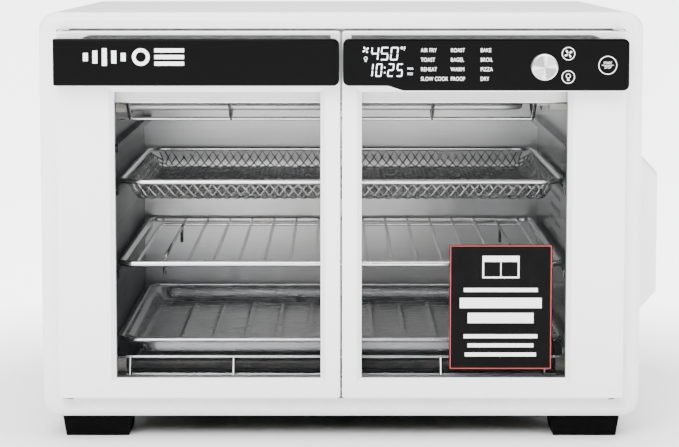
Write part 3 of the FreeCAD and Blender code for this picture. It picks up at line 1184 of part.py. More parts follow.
# ---- doors ----
def door_parts(side, sign):
    """One French door: painted panel, glass and steel liner."""
    def x_of(place):
        return f"{sign} * {place}"

    outline = rect(x_of(DOOR_IN), x_of(DOOR_OUT), DOOR_LOW, DOOR_HIGH)
    window = rect(x_of(WINDOW_IN), x_of(WINDOW_OUT), WINDOW_LOW, WINDOW_HIGH)
    lap = "dim.glass_lap"
    pane = rect(x_of(f"({WINDOW_IN} - {lap})"), x_of(f"({WINDOW_OUT} + {lap})"),
                f"{WINDOW_LOW} - {lap}", f"{WINDOW_HIGH} + {lap}")

    panel = new_body("door_panel")
    pad(panel, "y", DOOR_FACE, "0", outline)
    corners = [(x_of(x), z) for x in (DOOR_IN, DOOR_OUT) for z in (DOOR_LOW, DOOR_HIGH)]
    dress(panel, "Fillet", "dim.door_corner", corner_edges(panel, "y", corners))
    dress(panel, "Fillet", "dim.door_edge", plane_edges(panel, "y", DOOR_FACE))
    pocket(panel, "y", DOOR_FACE, "0", window)
    limits = sorted([x_of(WINDOW_IN), x_of(WINDOW_OUT)], key=value) + [WINDOW_LOW, WINDOW_HIGH]
    dress(panel, "Chamfer", "dim.window_bevel", plane_edges(panel, "y", DOOR_FACE, limits))
    pocket(panel, "y", "-dim.glass_thick", "0", pane)
    grip_end = f"({DOOR_OUT} - dim.grip_outer)"
    grip_free = f"({DOOR_IN} + dim.grip_inner)"
    grip_top = f"{STRIP_TOP} + dim.grip_over"
    grip = [(x_of(grip_free), GRIP_LOW), (x_of(grip_end), GRIP_LOW), (x_of(grip_end), STRIP_TOP),
            (x_of(f"({grip_end} - dim.grip_slant)"), grip_top), (x_of(grip_free), grip_top)]
    pocket(panel, "y", DOOR_FACE, f"{DOOR_FACE} + dim.grip_deep", grip)
    pin_hole = circle(x_of(PIVOT_X), PIVOT_Y, "dim.pin_radius + dim.shaft_play")
    hole_deep = "(dim.pin_reach + dim.pin_clear)"
    pocket(panel, "z", f"{DOOR_HIGH} - {hole_deep}", DOOR_HIGH, pin_hole)
    pocket(panel, "z", DOOR_LOW, f"{DOOR_LOW} + {hole_deep}", pin_hole)
    holes = [circle(x, z, "dim.screw_shank") for x, z in liner_screw_places(sign)]
    pocket(panel, "y", "-dim.liner_screw_deep", "0", *holes)
    finish(panel, f"{side}_door_panel")

    glass = new_body("door_glass")
    pad(glass, "y", "-dim.glass_thick", "0", pane)
    finish(glass, f"{side}_door_glass")

    liner = new_body("door_liner")
    free, hinge = f"({DOOR_IN} + dim.liner_free_inset)", f"({DOOR_OUT} - dim.liner_inset)"
    low, high = f"({DOOR_LOW} + dim.liner_inset)", f"({DOOR_HIGH} - dim.liner_inset)"
    wall = "dim.liner_sheet"
    step = "dim.liner_step"
    mouth = rect(x_of(f"({WINDOW_IN} - {step})"), x_of(f"({WINDOW_OUT} + {step})"),
                 f"{WINDOW_LOW} - {step}", f"{WINDOW_HIGH} + {step}")
    pad(liner, "y", "0", "dim.liner_depth", rect(x_of(free), x_of(hinge), low, high), mouth)
    inner = rect(x_of(f"({free} + {wall})"), x_of(f"({hinge} - {wall})"),
                 f"{low} + {wall}", f"{high} - {wall}")
    rim = rect(x_of(f"({WINDOW_IN} - {step} - {wall})"), x_of(f"({WINDOW_OUT} + {step} + {wall})"),
               f"{WINDOW_LOW} - {step} - {wall}", f"{WINDOW_HIGH} + {step} + {wall}")
    pocket(liner, "y", "0", f"dim.liner_depth - {wall}", inner, rim)
    holes = [circle(x, z, "dim.screw_shank") for x, z in liner_screw_places(sign)]
    pocket(liner, "y", f"dim.liner_depth - {wall}", "dim.liner_depth", *holes)
    finish(liner, f"{side}_door_liner")

    screws = [pan_head_screw(x, z, "dim.liner_depth", "-dim.liner_screw_deep", True)
              for x, z in liner_screw_places(sign)]
    finish(group(screws), f"{side}_door_screws")


def liner_screw_places(sign):
    outer = f"{sign} * ({DOOR_OUT} - dim.liner_inset - dim.liner_screw_out)"
    inner = f"{sign} * ({DOOR_IN} + dim.liner_free_inset + dim.liner_screw_in)"
    heights = (f"({DOOR_LOW} + dim.liner_inset + dim.liner_screw_low)",
               f"({DOOR_HIGH} - dim.liner_inset - dim.liner_screw_high)")
    return [(x, z) for x in (outer, inner) for z in heights]


def strip_body(sign, outline, rounds, keen):
    """A black strip in front of a door: rounded, hollow at the back, open behind its top."""
    body = new_body("strip")
    pad(body, "y", STRIP_FACE, DOOR_FACE, outline)
    dress(body, "Fillet", "dim.strip_round", corner_edges(body, "y", rounds))
    if keen:
        dress(body, "Fillet", "dim.strip_end", corner_edges(body, "y", keen))
    dress(body, "Fillet", "dim.strip_edge", plane_edges(body, "y", STRIP_FACE))
    grip_end = f"{sign} * ({DOOR_OUT} - dim.grip_outer)"
    grip_free = f"{sign} * ({DOOR_IN} + dim.grip_inner)"
    grip = rect(grip_free, grip_end, GRIP_LOW, f"{STRIP_TOP} + {PAST}")
    pocket(body, "y", f"{DOOR_FACE} - dim.grip_deep", DOOR_FACE, grip)
    wall = "dim.strip_wall"
    bay_free = f"{sign} * ({STRIP_IN} + dim.strip_end_wall)"
    bay_end = f"{sign} * ({DOOR_OUT} - dim.strip_end_wall)"
    bay = rect(bay_free, bay_end, f"{STRIP_LOW} + {wall}", f"{GRIP_LOW} - {wall}")
    pocket(body, "y", f"{STRIP_FACE} + {wall}", DOOR_FACE, bay)
    return body


def handle_strip():
    outline = rect(f"-{STRIP_IN}", f"-{DOOR_OUT}", STRIP_LOW, STRIP_TOP)
    rounds = [(f"-{STRIP_IN}", z) for z in (STRIP_LOW, STRIP_TOP)]
    keen = [(f"-{DOOR_OUT}", z) for z in (STRIP_LOW, STRIP_TOP)]
    return finish(strip_body("-1", outline, rounds, keen), "left_handle_strip")


def control_panel():
    """The right door's strip: deeper beyond a slant, and hollowed for the display and board."""
    deep = f"({STRIP_LOW} - dim.strip_step)"
    slant_end = "(dim.slant_from + dim.slant_run)"
    outline = [(STRIP_IN, STRIP_LOW), ("dim.slant_from", STRIP_LOW), (slant_end, deep),
               (DOOR_OUT, deep), (DOOR_OUT, STRIP_TOP), (STRIP_IN, STRIP_TOP)]
    rounds = [(STRIP_IN, STRIP_LOW), (STRIP_IN, STRIP_TOP), (DOOR_OUT, deep), (DOOR_OUT, STRIP_TOP),
              ("dim.slant_from", STRIP_LOW), (slant_end, deep)]
    body = strip_body("1", outline, rounds, [])
    wall = "dim.strip_wall"
    chamber = rect(f"{STRIP_IN} + dim.strip_end_wall", f"{DOOR_OUT} - dim.strip_end_wall",
                   f"{GRIP_LOW} - {wall}", f"{STRIP_TOP} - {wall}")
    chamber_back = f"{DOOR_FACE} - dim.grip_deep - dim.chamber_wall"
    pocket(body, "y", f"{STRIP_FACE} + {wall}", chamber_back, chamber)
    pocket(body, "y", STRIP_FACE, f"{STRIP_FACE} + {wall}",
           circle(KNOB_X, KNOB_Z, "dim.knob_shaft + dim.bushing_wall + dim.bushing_play"))
    return finish(body, "control_panel")


def control_electronics():
    """Board, display and rotary encoder inside the control panel."""
    inset = "(dim.strip_wall + dim.board_gap)"
    low, high = f"({STRIP_LOW} + {inset})", f"({STRIP_TOP} - {inset})"
    end = "(dim.strip_end_wall + dim.board_gap)"
    inner, outer = f"({STRIP_IN} + {end})", f"({DOOR_OUT} - {end})"
    board = new_body("control_board")
    pad(board, "y", BOARD_FRONT, BOARD_BACK, rect(inner, outer, low, high))
    shaft_hole = circle(KNOB_X, KNOB_Z, "dim.knob_shaft + dim.board_play")
    pocket(board, "y", BOARD_FRONT, BOARD_BACK, shaft_hole)
    finish(board, "control_board")
    display = new_body("display_module")
    middle = f"(({STRIP_LOW} + {STRIP_TOP}) / 2 + dim.display_lift)"
    pad(display, "y", f"{BOARD_FRONT} - dim.display_thick", BOARD_FRONT,
        rect("dim.display_in", "dim.display_in + dim.display_long",
             f"{middle} - dim.display_tall / 2", f"{middle} + dim.display_tall / 2"))
    finish(display, "display_module")
    encoder = new_body("knob_encoder")
    half = "dim.encoder_side / 2"
    bore = "dim.knob_shaft + dim.shaft_play"
    pad(encoder, "y", f"{STRIP_FACE} + dim.strip_wall", BOARD_FRONT,
        rect(f"{KNOB_X} - {half}", f"{KNOB_X} + {half}", f"{KNOB_Z} - {half}", f"{KNOB_Z} + {half}"))
    bushing_front = f"({STRIP_FACE} - dim.bushing_out)"
    pad(encoder, "y", bushing_front, f"{STRIP_FACE} + dim.strip_wall",
        circle(KNOB_X, KNOB_Z, "dim.knob_shaft + dim.bushing_wall"))
    pocket(encoder, "y", bushing_front, BOARD_FRONT, circle(KNOB_X, KNOB_Z, bore))
    finish(encoder, "knob_encoder")


def control_knob():
    """Brushed aluminium knob on a steel shaft."""
    front = f"({KNOB_BACK} - dim.knob_height)"
    knob = new_body("control_knob")
    pad(knob, "y", front, KNOB_BACK, circle(KNOB_X, KNOB_Z, "dim.knob_radius"))
    dress(knob, "Chamfer", "dim.knob_chamfer", plane_edges(knob, "y", front))
    recess = circle(KNOB_X, KNOB_Z, "dim.knob_shaft + dim.bushing_wall + dim.recess_gap")
    pocket(knob, "y", f"{KNOB_BACK} - dim.knob_recess", KNOB_BACK, recess)
    bore_end = f"({KNOB_BACK} - dim.knob_bore)"
    pocket(knob, "y", bore_end, KNOB_BACK, circle(KNOB_X, KNOB_Z, "dim.knob_shaft"))
    finish(knob, "control_knob")
    shaft = new_body("knob_shaft")
    pad(shaft, "y", bore_end, BOARD_FRONT, circle(KNOB_X, KNOB_Z, "dim.knob_shaft"))
    finish(shaft, "knob_shaft")


def window_label():
    """Printed film on the right window."""
    body = new_body("window_label")
    outer = f"({WINDOW_OUT} - dim.label_side)"
    low = f"({WINDOW_LOW} + dim.label_up)"
    face = "(-dim.glass_thick)"
    pad(body, "y", f"{face} - dim.label_thick", face,
        rect(f"{outer} - dim.label_width", outer, low, f"{low} + dim.label_height"))
    return finish(body, "window_label")


# ---- hinges and catches ----
def hinges():
    """Steel tabs in the gaps above and below each door, with pins that turn in the door."""
    washers = []
    for side, sign in SIDES:
        x = f"{sign} * {PIVOT_X}"
        plates = []
        ends = [
            (f"({OPEN_HIGH} - dim.hinge_tab)", OPEN_HIGH, f"({DOOR_HIGH} - dim.pin_reach)"),
            (OPEN_LOW, f"({OPEN_LOW} + dim.hinge_tab)", f"({OPEN_LOW} + dim.hinge_tab)"),
        ]
        tab_x = sorted([f"{sign} * ({PIVOT_X} - dim.hinge_reach)",
                        f"{sign} * ({OPEN_SIDE} - dim.opening_corner)"], key=value)
        tab_y = (f"{DOOR_FACE} + dim.hinge_back", "dim.frame_depth - dim.hinge_short")
        pin_length = "dim.pin_reach + dim.door_end_gap - dim.hinge_tab"
        for tab_low, tab_high, pin_low in ends:
            tab = block(tab_x, tab_y, (tab_low, tab_high))
            plates.append(fused([tab, rod("z", (x, PIVOT_Y, pin_low), pin_length, "dim.pin_radius")]))
        finish(group(plates), f"{side}_hinge_plates")
        for low in (f"({OPEN_HIGH} - dim.hinge_tab - dim.washer_thick)", f"({OPEN_LOW} + dim.hinge_tab)"):
            disc = rod("z", (x, PIVOT_Y, low), "dim.washer_thick", "dim.washer_radius")
            bore = rod("z", (x, PIVOT_Y, low), "dim.washer_thick", "dim.pin_radius + dim.shaft_play")
            washers.append(cut(disc, bore))
    finish(group(washers), "hinge_washers")


def magnet_catches():
    """Two magnets on the front flange that hold the closed doors' steel liners."""
    magnets = []
    high = f"({DOOR_HIGH} - dim.liner_inset - dim.magnet_down)"
    start = f"({DOOR_IN} + dim.liner_free_inset + dim.magnet_in)"
    for _, sign in SIDES:
        ends = sorted([f"{sign} * {start}", f"{sign} * ({start} + dim.magnet_long)"], key=value)
        magnets.append(block(ends, ("dim.liner_depth + dim.magnet_gap", "dim.frame_depth"),
                             (f"{high} - dim.magnet_tall", high)))
    return finish(group(magnets), "magnet_catches")


outer_casing()
front_frame()
rear_panel()
base_pan()
feet()
foot_screws()
rear_screws()
cord_gland()
fan_motor_cover()
cavity()
oven_lamp()
temperature_sensor()
heaters()
heater_guards()
basket()
wire_rack()
baking_tray()
crumb_tray()
convection_fan()
power_board()
for door_side, door_sign in SIDES:
    door_parts(door_side, door_sign)
handle_strip()
control_panel()
control_electronics()
control_knob()
window_label()
hinges()
magnet_catches()
doc.recompute()

failed = [
    item.Label for item in doc.Objects
    if any(state in ("Invalid", "Error") for state in item.State)
]
if failed:
    raise RuntimeError(f"objects that failed to build: {failed}")
for piece in sub_parts:
    if piece.Shape.isNull() or not piece.Shape.isValid() or not piece.Shape.Solids:
        raise RuntimeError(f"{piece.Label} has no valid shape")

os.makedirs("parts", exist_ok=True)
for piece in sub_parts:
    piece.Shape.exportStep(f"parts/{piece.Label}.step")
print(f"{len(sub_parts)} sub-parts written")
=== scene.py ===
import math

import bmesh
import bpy
from mathutils import Matrix, Vector


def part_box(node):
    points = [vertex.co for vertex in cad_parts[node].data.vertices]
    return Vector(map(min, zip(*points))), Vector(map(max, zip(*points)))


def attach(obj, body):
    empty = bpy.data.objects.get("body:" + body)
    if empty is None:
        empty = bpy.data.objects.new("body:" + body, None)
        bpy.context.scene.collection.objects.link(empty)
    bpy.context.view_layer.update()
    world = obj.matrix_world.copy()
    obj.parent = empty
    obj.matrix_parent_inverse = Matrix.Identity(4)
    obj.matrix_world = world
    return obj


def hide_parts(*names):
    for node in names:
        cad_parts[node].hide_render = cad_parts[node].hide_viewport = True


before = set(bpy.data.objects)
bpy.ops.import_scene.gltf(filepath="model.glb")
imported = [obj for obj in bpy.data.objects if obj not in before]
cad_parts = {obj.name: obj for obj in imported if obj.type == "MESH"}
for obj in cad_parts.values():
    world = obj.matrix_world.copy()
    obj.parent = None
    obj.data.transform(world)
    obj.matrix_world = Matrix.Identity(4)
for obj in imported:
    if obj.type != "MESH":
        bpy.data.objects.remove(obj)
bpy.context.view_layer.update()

# ---- camera, floor and light ----
# The oven stands on a plain pale floor in soft studio light, seen from the front and a little
# above through a long lens tipped down a few degrees. The floor glows away from the oven, so
# that it runs into the white room behind; the glow is painted light, and the unlit floor round
# the oven is painted shade.
frame_low, frame_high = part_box("front_frame")
face_y = frame_low.y
middle_x = (frame_low.x + frame_high.x) / 2

camera_data = bpy.data.cameras.new("studio_camera")
camera_data.sensor_width = 36
camera_data.lens = 116.7
camera_data.shift_y = -0.1


def placed(name, data):
    """A new object in the scene that carries some data."""
    thing = bpy.data.objects.new(name, data)
    bpy.context.collection.objects.link(thing)
    return thing


camera_back, camera_height, tip_down = 1.655, 0.3744, 5.4
camera = placed("studio_camera", camera_data)
camera.location = (middle_x - 0.0012, face_y - camera_back, camera_height)
camera.rotation_euler = (math.radians(90 - tip_down), 0, 0)
bpy.context.scene.camera = camera


class Value:
    """A shader socket in a sum: every operator adds the Math node that works it out."""

    def __init__(self, finish, socket):
        self.finish = finish
        self.socket = socket

    def worked(self, operation, first, second):
        return self.finish.node("ShaderNodeMath", {"operation": operation}, {0: first, 1: second})

    def __add__(self, other):
        return self.worked("ADD", self, other)

    def __radd__(self, other):
        return self.worked("ADD", other, self)

    def __sub__(self, other):
        return self.worked("SUBTRACT", self, other)

    def __rsub__(self, other):
        return self.worked("SUBTRACT", other, self)

    def __mul__(self, other):
        return self.worked("MULTIPLY", self, other)

    def __rmul__(self, other):
        return self.worked("MULTIPLY", other, self)

    def __truediv__(self, other):
        return self.worked("DIVIDE", self, other)

    def __rtruediv__(self, other):
        return self.worked("DIVIDE", other, self)

    def __pow__(self, other):
        return self.worked("POWER", self, other)

    def __rpow__(self, other):
        return self.worked("POWER", other, self)


class Finish:
    """A finish as it is being mixed: the nodes of a new material, or of a tree handed in."""

    def __init__(self, name, tree=None):
        if tree is None:
            self.material = bpy.data.materials.new(name)
            self.material.use_nodes = True
            tree = self.material.node_tree
        self.tree = tree
        self.tree.nodes.clear()

    def node(self, kind, settings=None, sockets=None, output=0):
        """Adds a node: its settings first, then what goes into its sockets."""
        made = self.tree.nodes.new(kind)
        for name, setting in (settings or {}).items():
            if name == "stops":
                stops = made.color_ramp.elements
                while len(stops) < len(setting):
                    stops.new(0.5)
                for stop, (place, level) in zip(stops, setting):
                    stop.position = place
                    stop.color = level if isinstance(level, tuple) else (level, level, level, 1)
            else:
                setattr(made, name, setting)
        for name, value in (sockets or {}).items():
            if isinstance(value, Value):
                self.tree.links.new(value.socket, made.inputs[name])
            else:
                made.inputs[name].default_value = value
        return Value(self, made.outputs[output])

    def place(self, stretch=(1, 1, 1), centre=(0, 0, 0), turn=(0, 0, 0)):
        """The row's own coordinates in metres, moved to a centre and stretched."""
        here = self.node("ShaderNodeTexCoord", output="Object")
        shifted = self.node(
            "ShaderNodeVectorMath", {"operation": "SUBTRACT"}, {0: here, 1: centre}
        )
        return self.node(
            "ShaderNodeMapping", {}, {"Vector": shifted, "Scale": stretch, "Rotation": turn}
        )

    def noise(self, size, detail=3.0, stretch=(1, 1, 1), turn=(0, 0, 0), rough=0.5):
        """Cloudy noise between 0 and 1 whose blotches are about `size` metres across."""
        return self.node(
            "ShaderNodeTexNoise", {},
            {"Vector": self.place(stretch, turn=turn), "Scale": 1 / size, "Detail": detail,
             "Roughness": rough},
        )

    def ramp(self, value, *stops):
        """Steps or slopes of grey or colour along a value."""
        return self.node("ShaderNodeValToRGB", {"stops": stops}, {0: value})

    def blend(self, factor, first, second):
        """Two colours mixed by a factor."""
        return self.node(
            "ShaderNodeMix", {"data_type": "RGBA"},
            {0: factor, 6: first, 7: second}, output=2,
        )

    def bump(self, height, strength, distance):
        return self.node(
            "ShaderNodeBump", {},
            {"Height": height, "Strength": strength, "Distance": distance},
        )

    def done(self, **sockets):
        """Closes the finish with a Principled shader; sockets are named with underscores."""
        named = {name.replace("_", " "): value for name, value in sockets.items()}
        shader = self.node("ShaderNodeBsdfPrincipled", {}, named)
        output = self.tree.nodes.new("ShaderNodeOutputMaterial")
        self.tree.links.new(shader.socket, output.inputs["Surface"])
        return self.material


world = bpy.data.worlds.new("studio_air")
world.use_nodes = True
air = Finish("studio_air", world.node_tree)
upwards = air.node(
    "ShaderNodeSeparateXYZ", {}, {0: air.node("ShaderNodeTexCoord", output="Generated")}, "Z"
)
canopy = air.ramp(upwards, (0.36, 0.01), (0.62, 0.55), (1.0, 1.05))
glare = air.node("ShaderNodeBackground", {}, {"Color": canopy, "Strength": 4.6})
air_output = air.tree.nodes.new("ShaderNodeOutputWorld")
air.tree.links.new(glare.socket, air_output.inputs["Surface"])
bpy.context.scene.world = world


def softbox(name, place, target, width, height, power):
    """A square lamp at a place, turned towards a target."""
    data = bpy.data.lights.new(name, "AREA")
    data.shape = "RECTANGLE"
    data.size, data.size_y = width, height
    data.energy = power
    lamp = placed(name, data)
    lamp.location = place
    lamp.rotation_mode = "QUATERNION"
    lamp.rotation_quaternion = (Vector(target) - Vector(place)).to_track_quat("-Z", "Y")
    lamp.visible_camera = False


softbox("key_softbox", (-0.9, -2.0, 1.5), (0, 0, 0.15), 1.8, 1.2, 95)
softbox("fill_softbox", (1.7, -1.4, 1.1), (0, 0, 0.15), 1.2, 1.2, 26)
softbox("top_softbox", (0, 0.1, 2.2), (0, 0, 0), 1.6, 1.2, 14)
softbox("back_softbox", (0.4, 1.9, 1.2), (0, 0, 0.2), 1.4, 1.0, 8)


def give(material, *nodes):
    """Puts a finish on CAD nodes."""
    for name in nodes:
        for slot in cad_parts[name].material_slots:
            slot.material = material


def piece_from(name, mesh, material, body):
    """A finished mesh as a piece that rides on a body."""
    thing = placed(name, mesh)
    mesh.materials.clear()
    mesh.materials.append(material)
    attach(thing, body)
    return thing


floor_finish = Finish("studio_floor")
glow_shape = (0.42, 0.52, 1)
glow_starts, glow_full = 0.13, 0.30
# The floor's glow is painted light that starts a little way out from the oven, so the floor round
# it stays darker as painted shade.
away = floor_finish.node(
    "ShaderNodeVectorMath", {"operation": "LENGTH"}, {0: floor_finish.place(glow_shape)}, output=1
)
floor_material = floor_finish.done(
    Base_Color=floor_finish.blend(
        floor_finish.noise(0.9, 2.0), (0.86, 0.86, 0.86, 1), (0.89, 0.89, 0.89, 1)
    ),
    Roughness=0.42,
    Emission_Color=floor_finish.ramp(away, (glow_starts, 0.0), (glow_full, 1.0)),
    Emission_Strength=3.0,
)
floor_mesh = bpy.data.meshes.new("studio_floor")
reach = 40
floor_mesh.from_pydata(
    [(-reach, -reach, 0), (reach, -reach, 0), (reach, reach, 0), (-reach, reach, 0)],
    [], [(0, 1, 2, 3)],
)
floor_mesh.materials.append(floor_material)
floor = placed("studio_floor", floor_mesh)


# ---- casing, frame, back and side cover ----
# Pressed steel, powder coated white: a wrap over the top and sides, a rounded frame at the
# front, a screwed-on back and a cover over the fan's motor. The coat has a faint orange peel.
def powder_coat(name, white, shine):
    coat = Finish(name)
    cloud = coat.noise(0.22, 4.0)
    dust = coat.noise(0.006, 5.0, rough=0.7)
    peel = coat.noise(0.0011, 2.0)
    height = coat.node(
        "ShaderNodeSeparateXYZ", {}, {0: coat.node("ShaderNodeTexCoord", output="Object")}, 2
    )
    near_floor = coat.ramp(height, (0.0, 1.0), (0.05, 0.0))
    low_grime = near_floor * coat.ramp(dust, (0.45, 0.0), (0.75, 1.0))
    tone = coat.blend(
        cloud, (white * 0.975, white * 0.98, white * 0.985, 1), (white, white, white, 1)
    )
    soiled = coat.blend(low_grime * 0.35, tone, (white * 0.6, white * 0.57, white * 0.53, 1))
    return coat.done(
        Base_Color=soiled,
        Roughness=shine + cloud * 0.08 + dust * 0.05,
        Coat_Weight=0.25,
        Coat_Roughness=0.12,
        Normal=coat.bump(peel, 0.10, 0.0004),
    )


casing_white = powder_coat("white_powder_coat", 0.80, 0.33)
give(casing_white, "outer_casing", "front_frame", "rear_panel", "fan_motor_cover")

# ---- doors ----
# Each door is one pressed frame in the same white coat, a little smoother, with a bevelled
# window opening and a shallow finger pocket at its top edge.
door_white = powder_coat("white_door_coat", 0.82, 0.28)
give(door_white, "left_door_panel", "right_door_panel")


# ---- feet and underside ----
# Four black moulded feet with a fine spark-eroded texture, each held by a pan head screw, and
# a pan made near black as painted shade, so that the gap under the oven reads dark. The fan's
# housing and motor are galvanised, with crystal spangle.
def moulded_black(name, grey):
    plastic = Finish(name)
    grain = plastic.noise(0.0007, 3.0)
    scuff = plastic.ramp(plastic.noise(0.012, 6.0, rough=0.75), (0.55, 0.0), (0.8, 1.0))
    return plastic.done(
        Base_Color=plastic.blend(
            scuff * 0.5, (grey, grey, grey, 1), (grey * 3, grey * 3, grey * 2.9, 1)
        ),
        Roughness=0.55 + scuff * 0.2,
        Specular_IOR_Level=0.03,
        Normal=plastic.bump(grain, 0.35, 0.0003),
    )


foot_black = moulded_black("foot_plastic", 0.0015)
give(foot_black, "front_left_foot", "front_right_foot", "rear_left_foot", "rear_right_foot",
     "cord_gland")

zinc = Finish("galvanised_steel")
spangle = zinc.node(
    "ShaderNodeTexVoronoi", {"feature": "F1"},
    {"Vector": zinc.place(), "Scale": 160.0, "Randomness": 1.0}, output="Color",
)
crystal = zinc.node("ShaderNodeSeparateColor", {}, {0: spangle}, 0)
galvanised = zinc.done(
    Base_Color=zinc.blend(crystal, (0.34, 0.35, 0.37, 1), (0.58, 0.59, 0.61, 1)),
    Metallic=0.9,
    Roughness=0.36 + crystal * 0.22,
    Normal=zinc.bump(zinc.noise(0.0015), 0.1, 0.0002),
)
give(galvanised, "fan_housing", "fan_motor")
# The pan is near black as painted shade, so that the gap under the oven reads dark.
give(moulded_black("underside_painted_shade_black", 0.002), "base_pan")


# ---- cavity ----
# Thin stainless sheet brushed along its length: two side walls with pressed shelf rails, a
# back, a ceiling, a floor and the flange round the mouth. One steel is given as lit and shaded
# copies: near black on the left wall and dark on the right wall, the ceiling and the floor, as
# painted shade, and bright on the back, as painted light.
def brushed_steel(name, stretch, tone, shine, tint=0.25):
    steel = Finish(name)
    grain = steel.noise(0.004, 3.0, stretch=stretch, rough=0.6)
    hair = steel.noise(0.0011, 2.0, stretch=stretch)
    heat = steel.ramp(steel.noise(0.11, 3.0), (0.45, 0.0), (0.8, 1.0))
    light, dark = tone * 1.08, tone * 0.86
    brushed = steel.blend(grain, (dark, dark, dark * 1.01, 1), (light, light, light * 1.01, 1))
    return steel.done(
        Base_Color=steel.blend(heat * tint, brushed, (tone * 0.93, tone * 0.84, tone * 0.68, 1)),
        Metallic=1.0,
        Roughness=shine + grain * 0.12 + heat * 0.06,
        Normal=steel.bump(hair, 0.22, 0.0002),
    )


# Painted shade and light: the walls, ceiling and floor are darkened copies of one steel, and the
# back is a brighter copy.
left_wall_painted_shade = brushed_steel("left_wall_painted_shade_steel", (1, 0.02, 1), 0.018, 0.34)
right_wall_painted_shade = brushed_steel("right_wall_painted_shade_steel", (1, 0.02, 1), 0.13, 0.16)
back_wall_painted_light = brushed_steel("back_wall_painted_light_steel", (0.02, 1, 1), 0.46, 0.24)
floor_ceiling_painted_shade = brushed_steel("floor_ceiling_painted_shade_steel", (0.02, 1, 1), 0.12, 0.26)
flange_steel = brushed_steel("flange_steel", (0.03, 1, 1), 0.66, 0.28, 0.1)
give(left_wall_painted_shade, "cavity_left_wall")
give(right_wall_painted_shade, "cavity_right_wall")
give(back_wall_painted_light, "cavity_back_wall")
give(floor_ceiling_painted_shade, "cavity_ceiling", "cavity_floor")
give(flange_steel, "cavity_front_flange", "left_door_liner", "right_door_liner")

# The lamp behind the right wall lights the shelves: its lens is pressed glass and its holder
# white porcelain. The sensor's block and the heaters' bushes are unglazed ceramic.
low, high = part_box("cavity_ceiling")
softbox(
    "cavity_lamp", ((low.x + high.x) / 2, low.y + 0.10, low.z - 0.004),
    ((low.x + high.x) / 2, low.y + 0.26, 0.05), 0.30, 0.10, 0.45,
)

pressed_glass = Finish("pressed_lamp_glass")
ripple = pressed_glass.noise(0.003, 2.0)
give(
    pressed_glass.done(
        Base_Color=pressed_glass.blend(ripple, (0.9, 0.86, 0.72, 1), (0.97, 0.95, 0.88, 1)),
        Roughness=0.15 + ripple * 0.1, Alpha=0.7,
        Normal=pressed_glass.bump(ripple, 0.4, 0.0004),
    ),
    "lamp_lens",
)
fired = Finish("unglazed_ceramic")
speck = fired.ramp(fired.noise(0.0012, 2.0), (0.3, 0.0), (0.42, 1.0))
give(
    fired.done(
        Base_Color=fired.blend(speck, (0.30, 0.28, 0.25, 1), (0.50, 0.48, 0.44, 1)),
        Roughness=0.75 - speck * 0.1,
        Normal=fired.bump(fired.noise(0.0008), 0.3, 0.0003),
    ),
    "lamp_holder", "temperature_sensor", "heater_insulators",
)

# ---- heaters and their guards ----
# Sheathed heating rods behind cages of bright plated wire that keep food and fingers off
# them. The lower rods are dark with oxide; the upper one is still bright.
sheath = Finish("oxidised_sheath")
flakes = sheath.noise(0.006, 5.0, stretch=(0.4, 1, 1), rough=0.7)
scale = sheath.ramp(flakes, (0.42, 0.0), (0.7, 1.0))
give(
    sheath.done(
        Base_Color=sheath.blend(scale, (0.010, 0.010, 0.011, 1), (0.050, 0.046, 0.040, 1)),
        Metallic=0.5,
        Roughness=0.42 + scale * 0.25,
        Normal=sheath.bump(scale, 0.2, 0.0002),
    ),
    "lower_heater_front", "lower_heater_rear",
)
bright_sheath = Finish("bright_sheath")
mottle = bright_sheath.noise(0.005, 4.0, stretch=(0.3, 1, 1))
give(
    bright_sheath.done(
        Base_Color=bright_sheath.blend(mottle, (0.40, 0.40, 0.40, 1), (0.56, 0.56, 0.55, 1)),
        Metallic=0.8,
        Roughness=0.34 + mottle * 0.2,
    ),
    "upper_heater",
)


def plated_wire(name, tone, shine):
    wire = Finish(name)
    draw = wire.noise(0.0025, 3.0)
    stain = wire.ramp(wire.noise(0.03, 4.0), (0.5, 0.0), (0.78, 1.0))
    clean = wire.blend(draw, (tone * 0.9, tone * 0.9, tone * 0.9, 1), (tone, tone, tone, 1))
    return wire.done(
        Base_Color=wire.blend(stain * 0.35, clean, (tone * 0.7, tone * 0.58, tone * 0.42, 1)),
        Metallic=1.0,
        Roughness=shine + draw * 0.08 + stain * 0.12,
        Normal=wire.bump(draw, 0.08, 0.0002),
    )


bright_wire = plated_wire("bright_plated_wire", 0.80, 0.14)
give(bright_wire, "upper_guard_front", "upper_guard_rear", "lower_guard_front",
     "lower_guard_rear", "basket_rim", "rack_frame")

# ---- wire rack's bars ----
# Drawn wires welded from the rack's front bar to its rear bar over one tie. The second wire
# from each side dips into a V near each end, which catches on the rail as the rack comes out.
rack_low, rack_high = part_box("rack_wires")
rack_wire = 0.0014
bar_count, stop_bar = 17, 1
bar_z = rack_high.z - rack_wire
rack_middle = (rack_low + rack_high) / 2
outer_bar = 0.1591
stop_depth, stop_half = 0.012, 0.0032
bars_curve = bpy.data.curves.new("rack_bars", "CURVE")
bars_curve.dimensions = "3D"
bars_curve.bevel_depth = rack_wire
bars_curve.bevel_resolution = 3
bars_curve.use_fill_caps = True


def rack_bar(points):
    run = bars_curve.splines.new("POLY")
    run.points.add(len(points) - 1)
    for point, spot in zip(run.points, points):
        point.co = (*spot, 1)


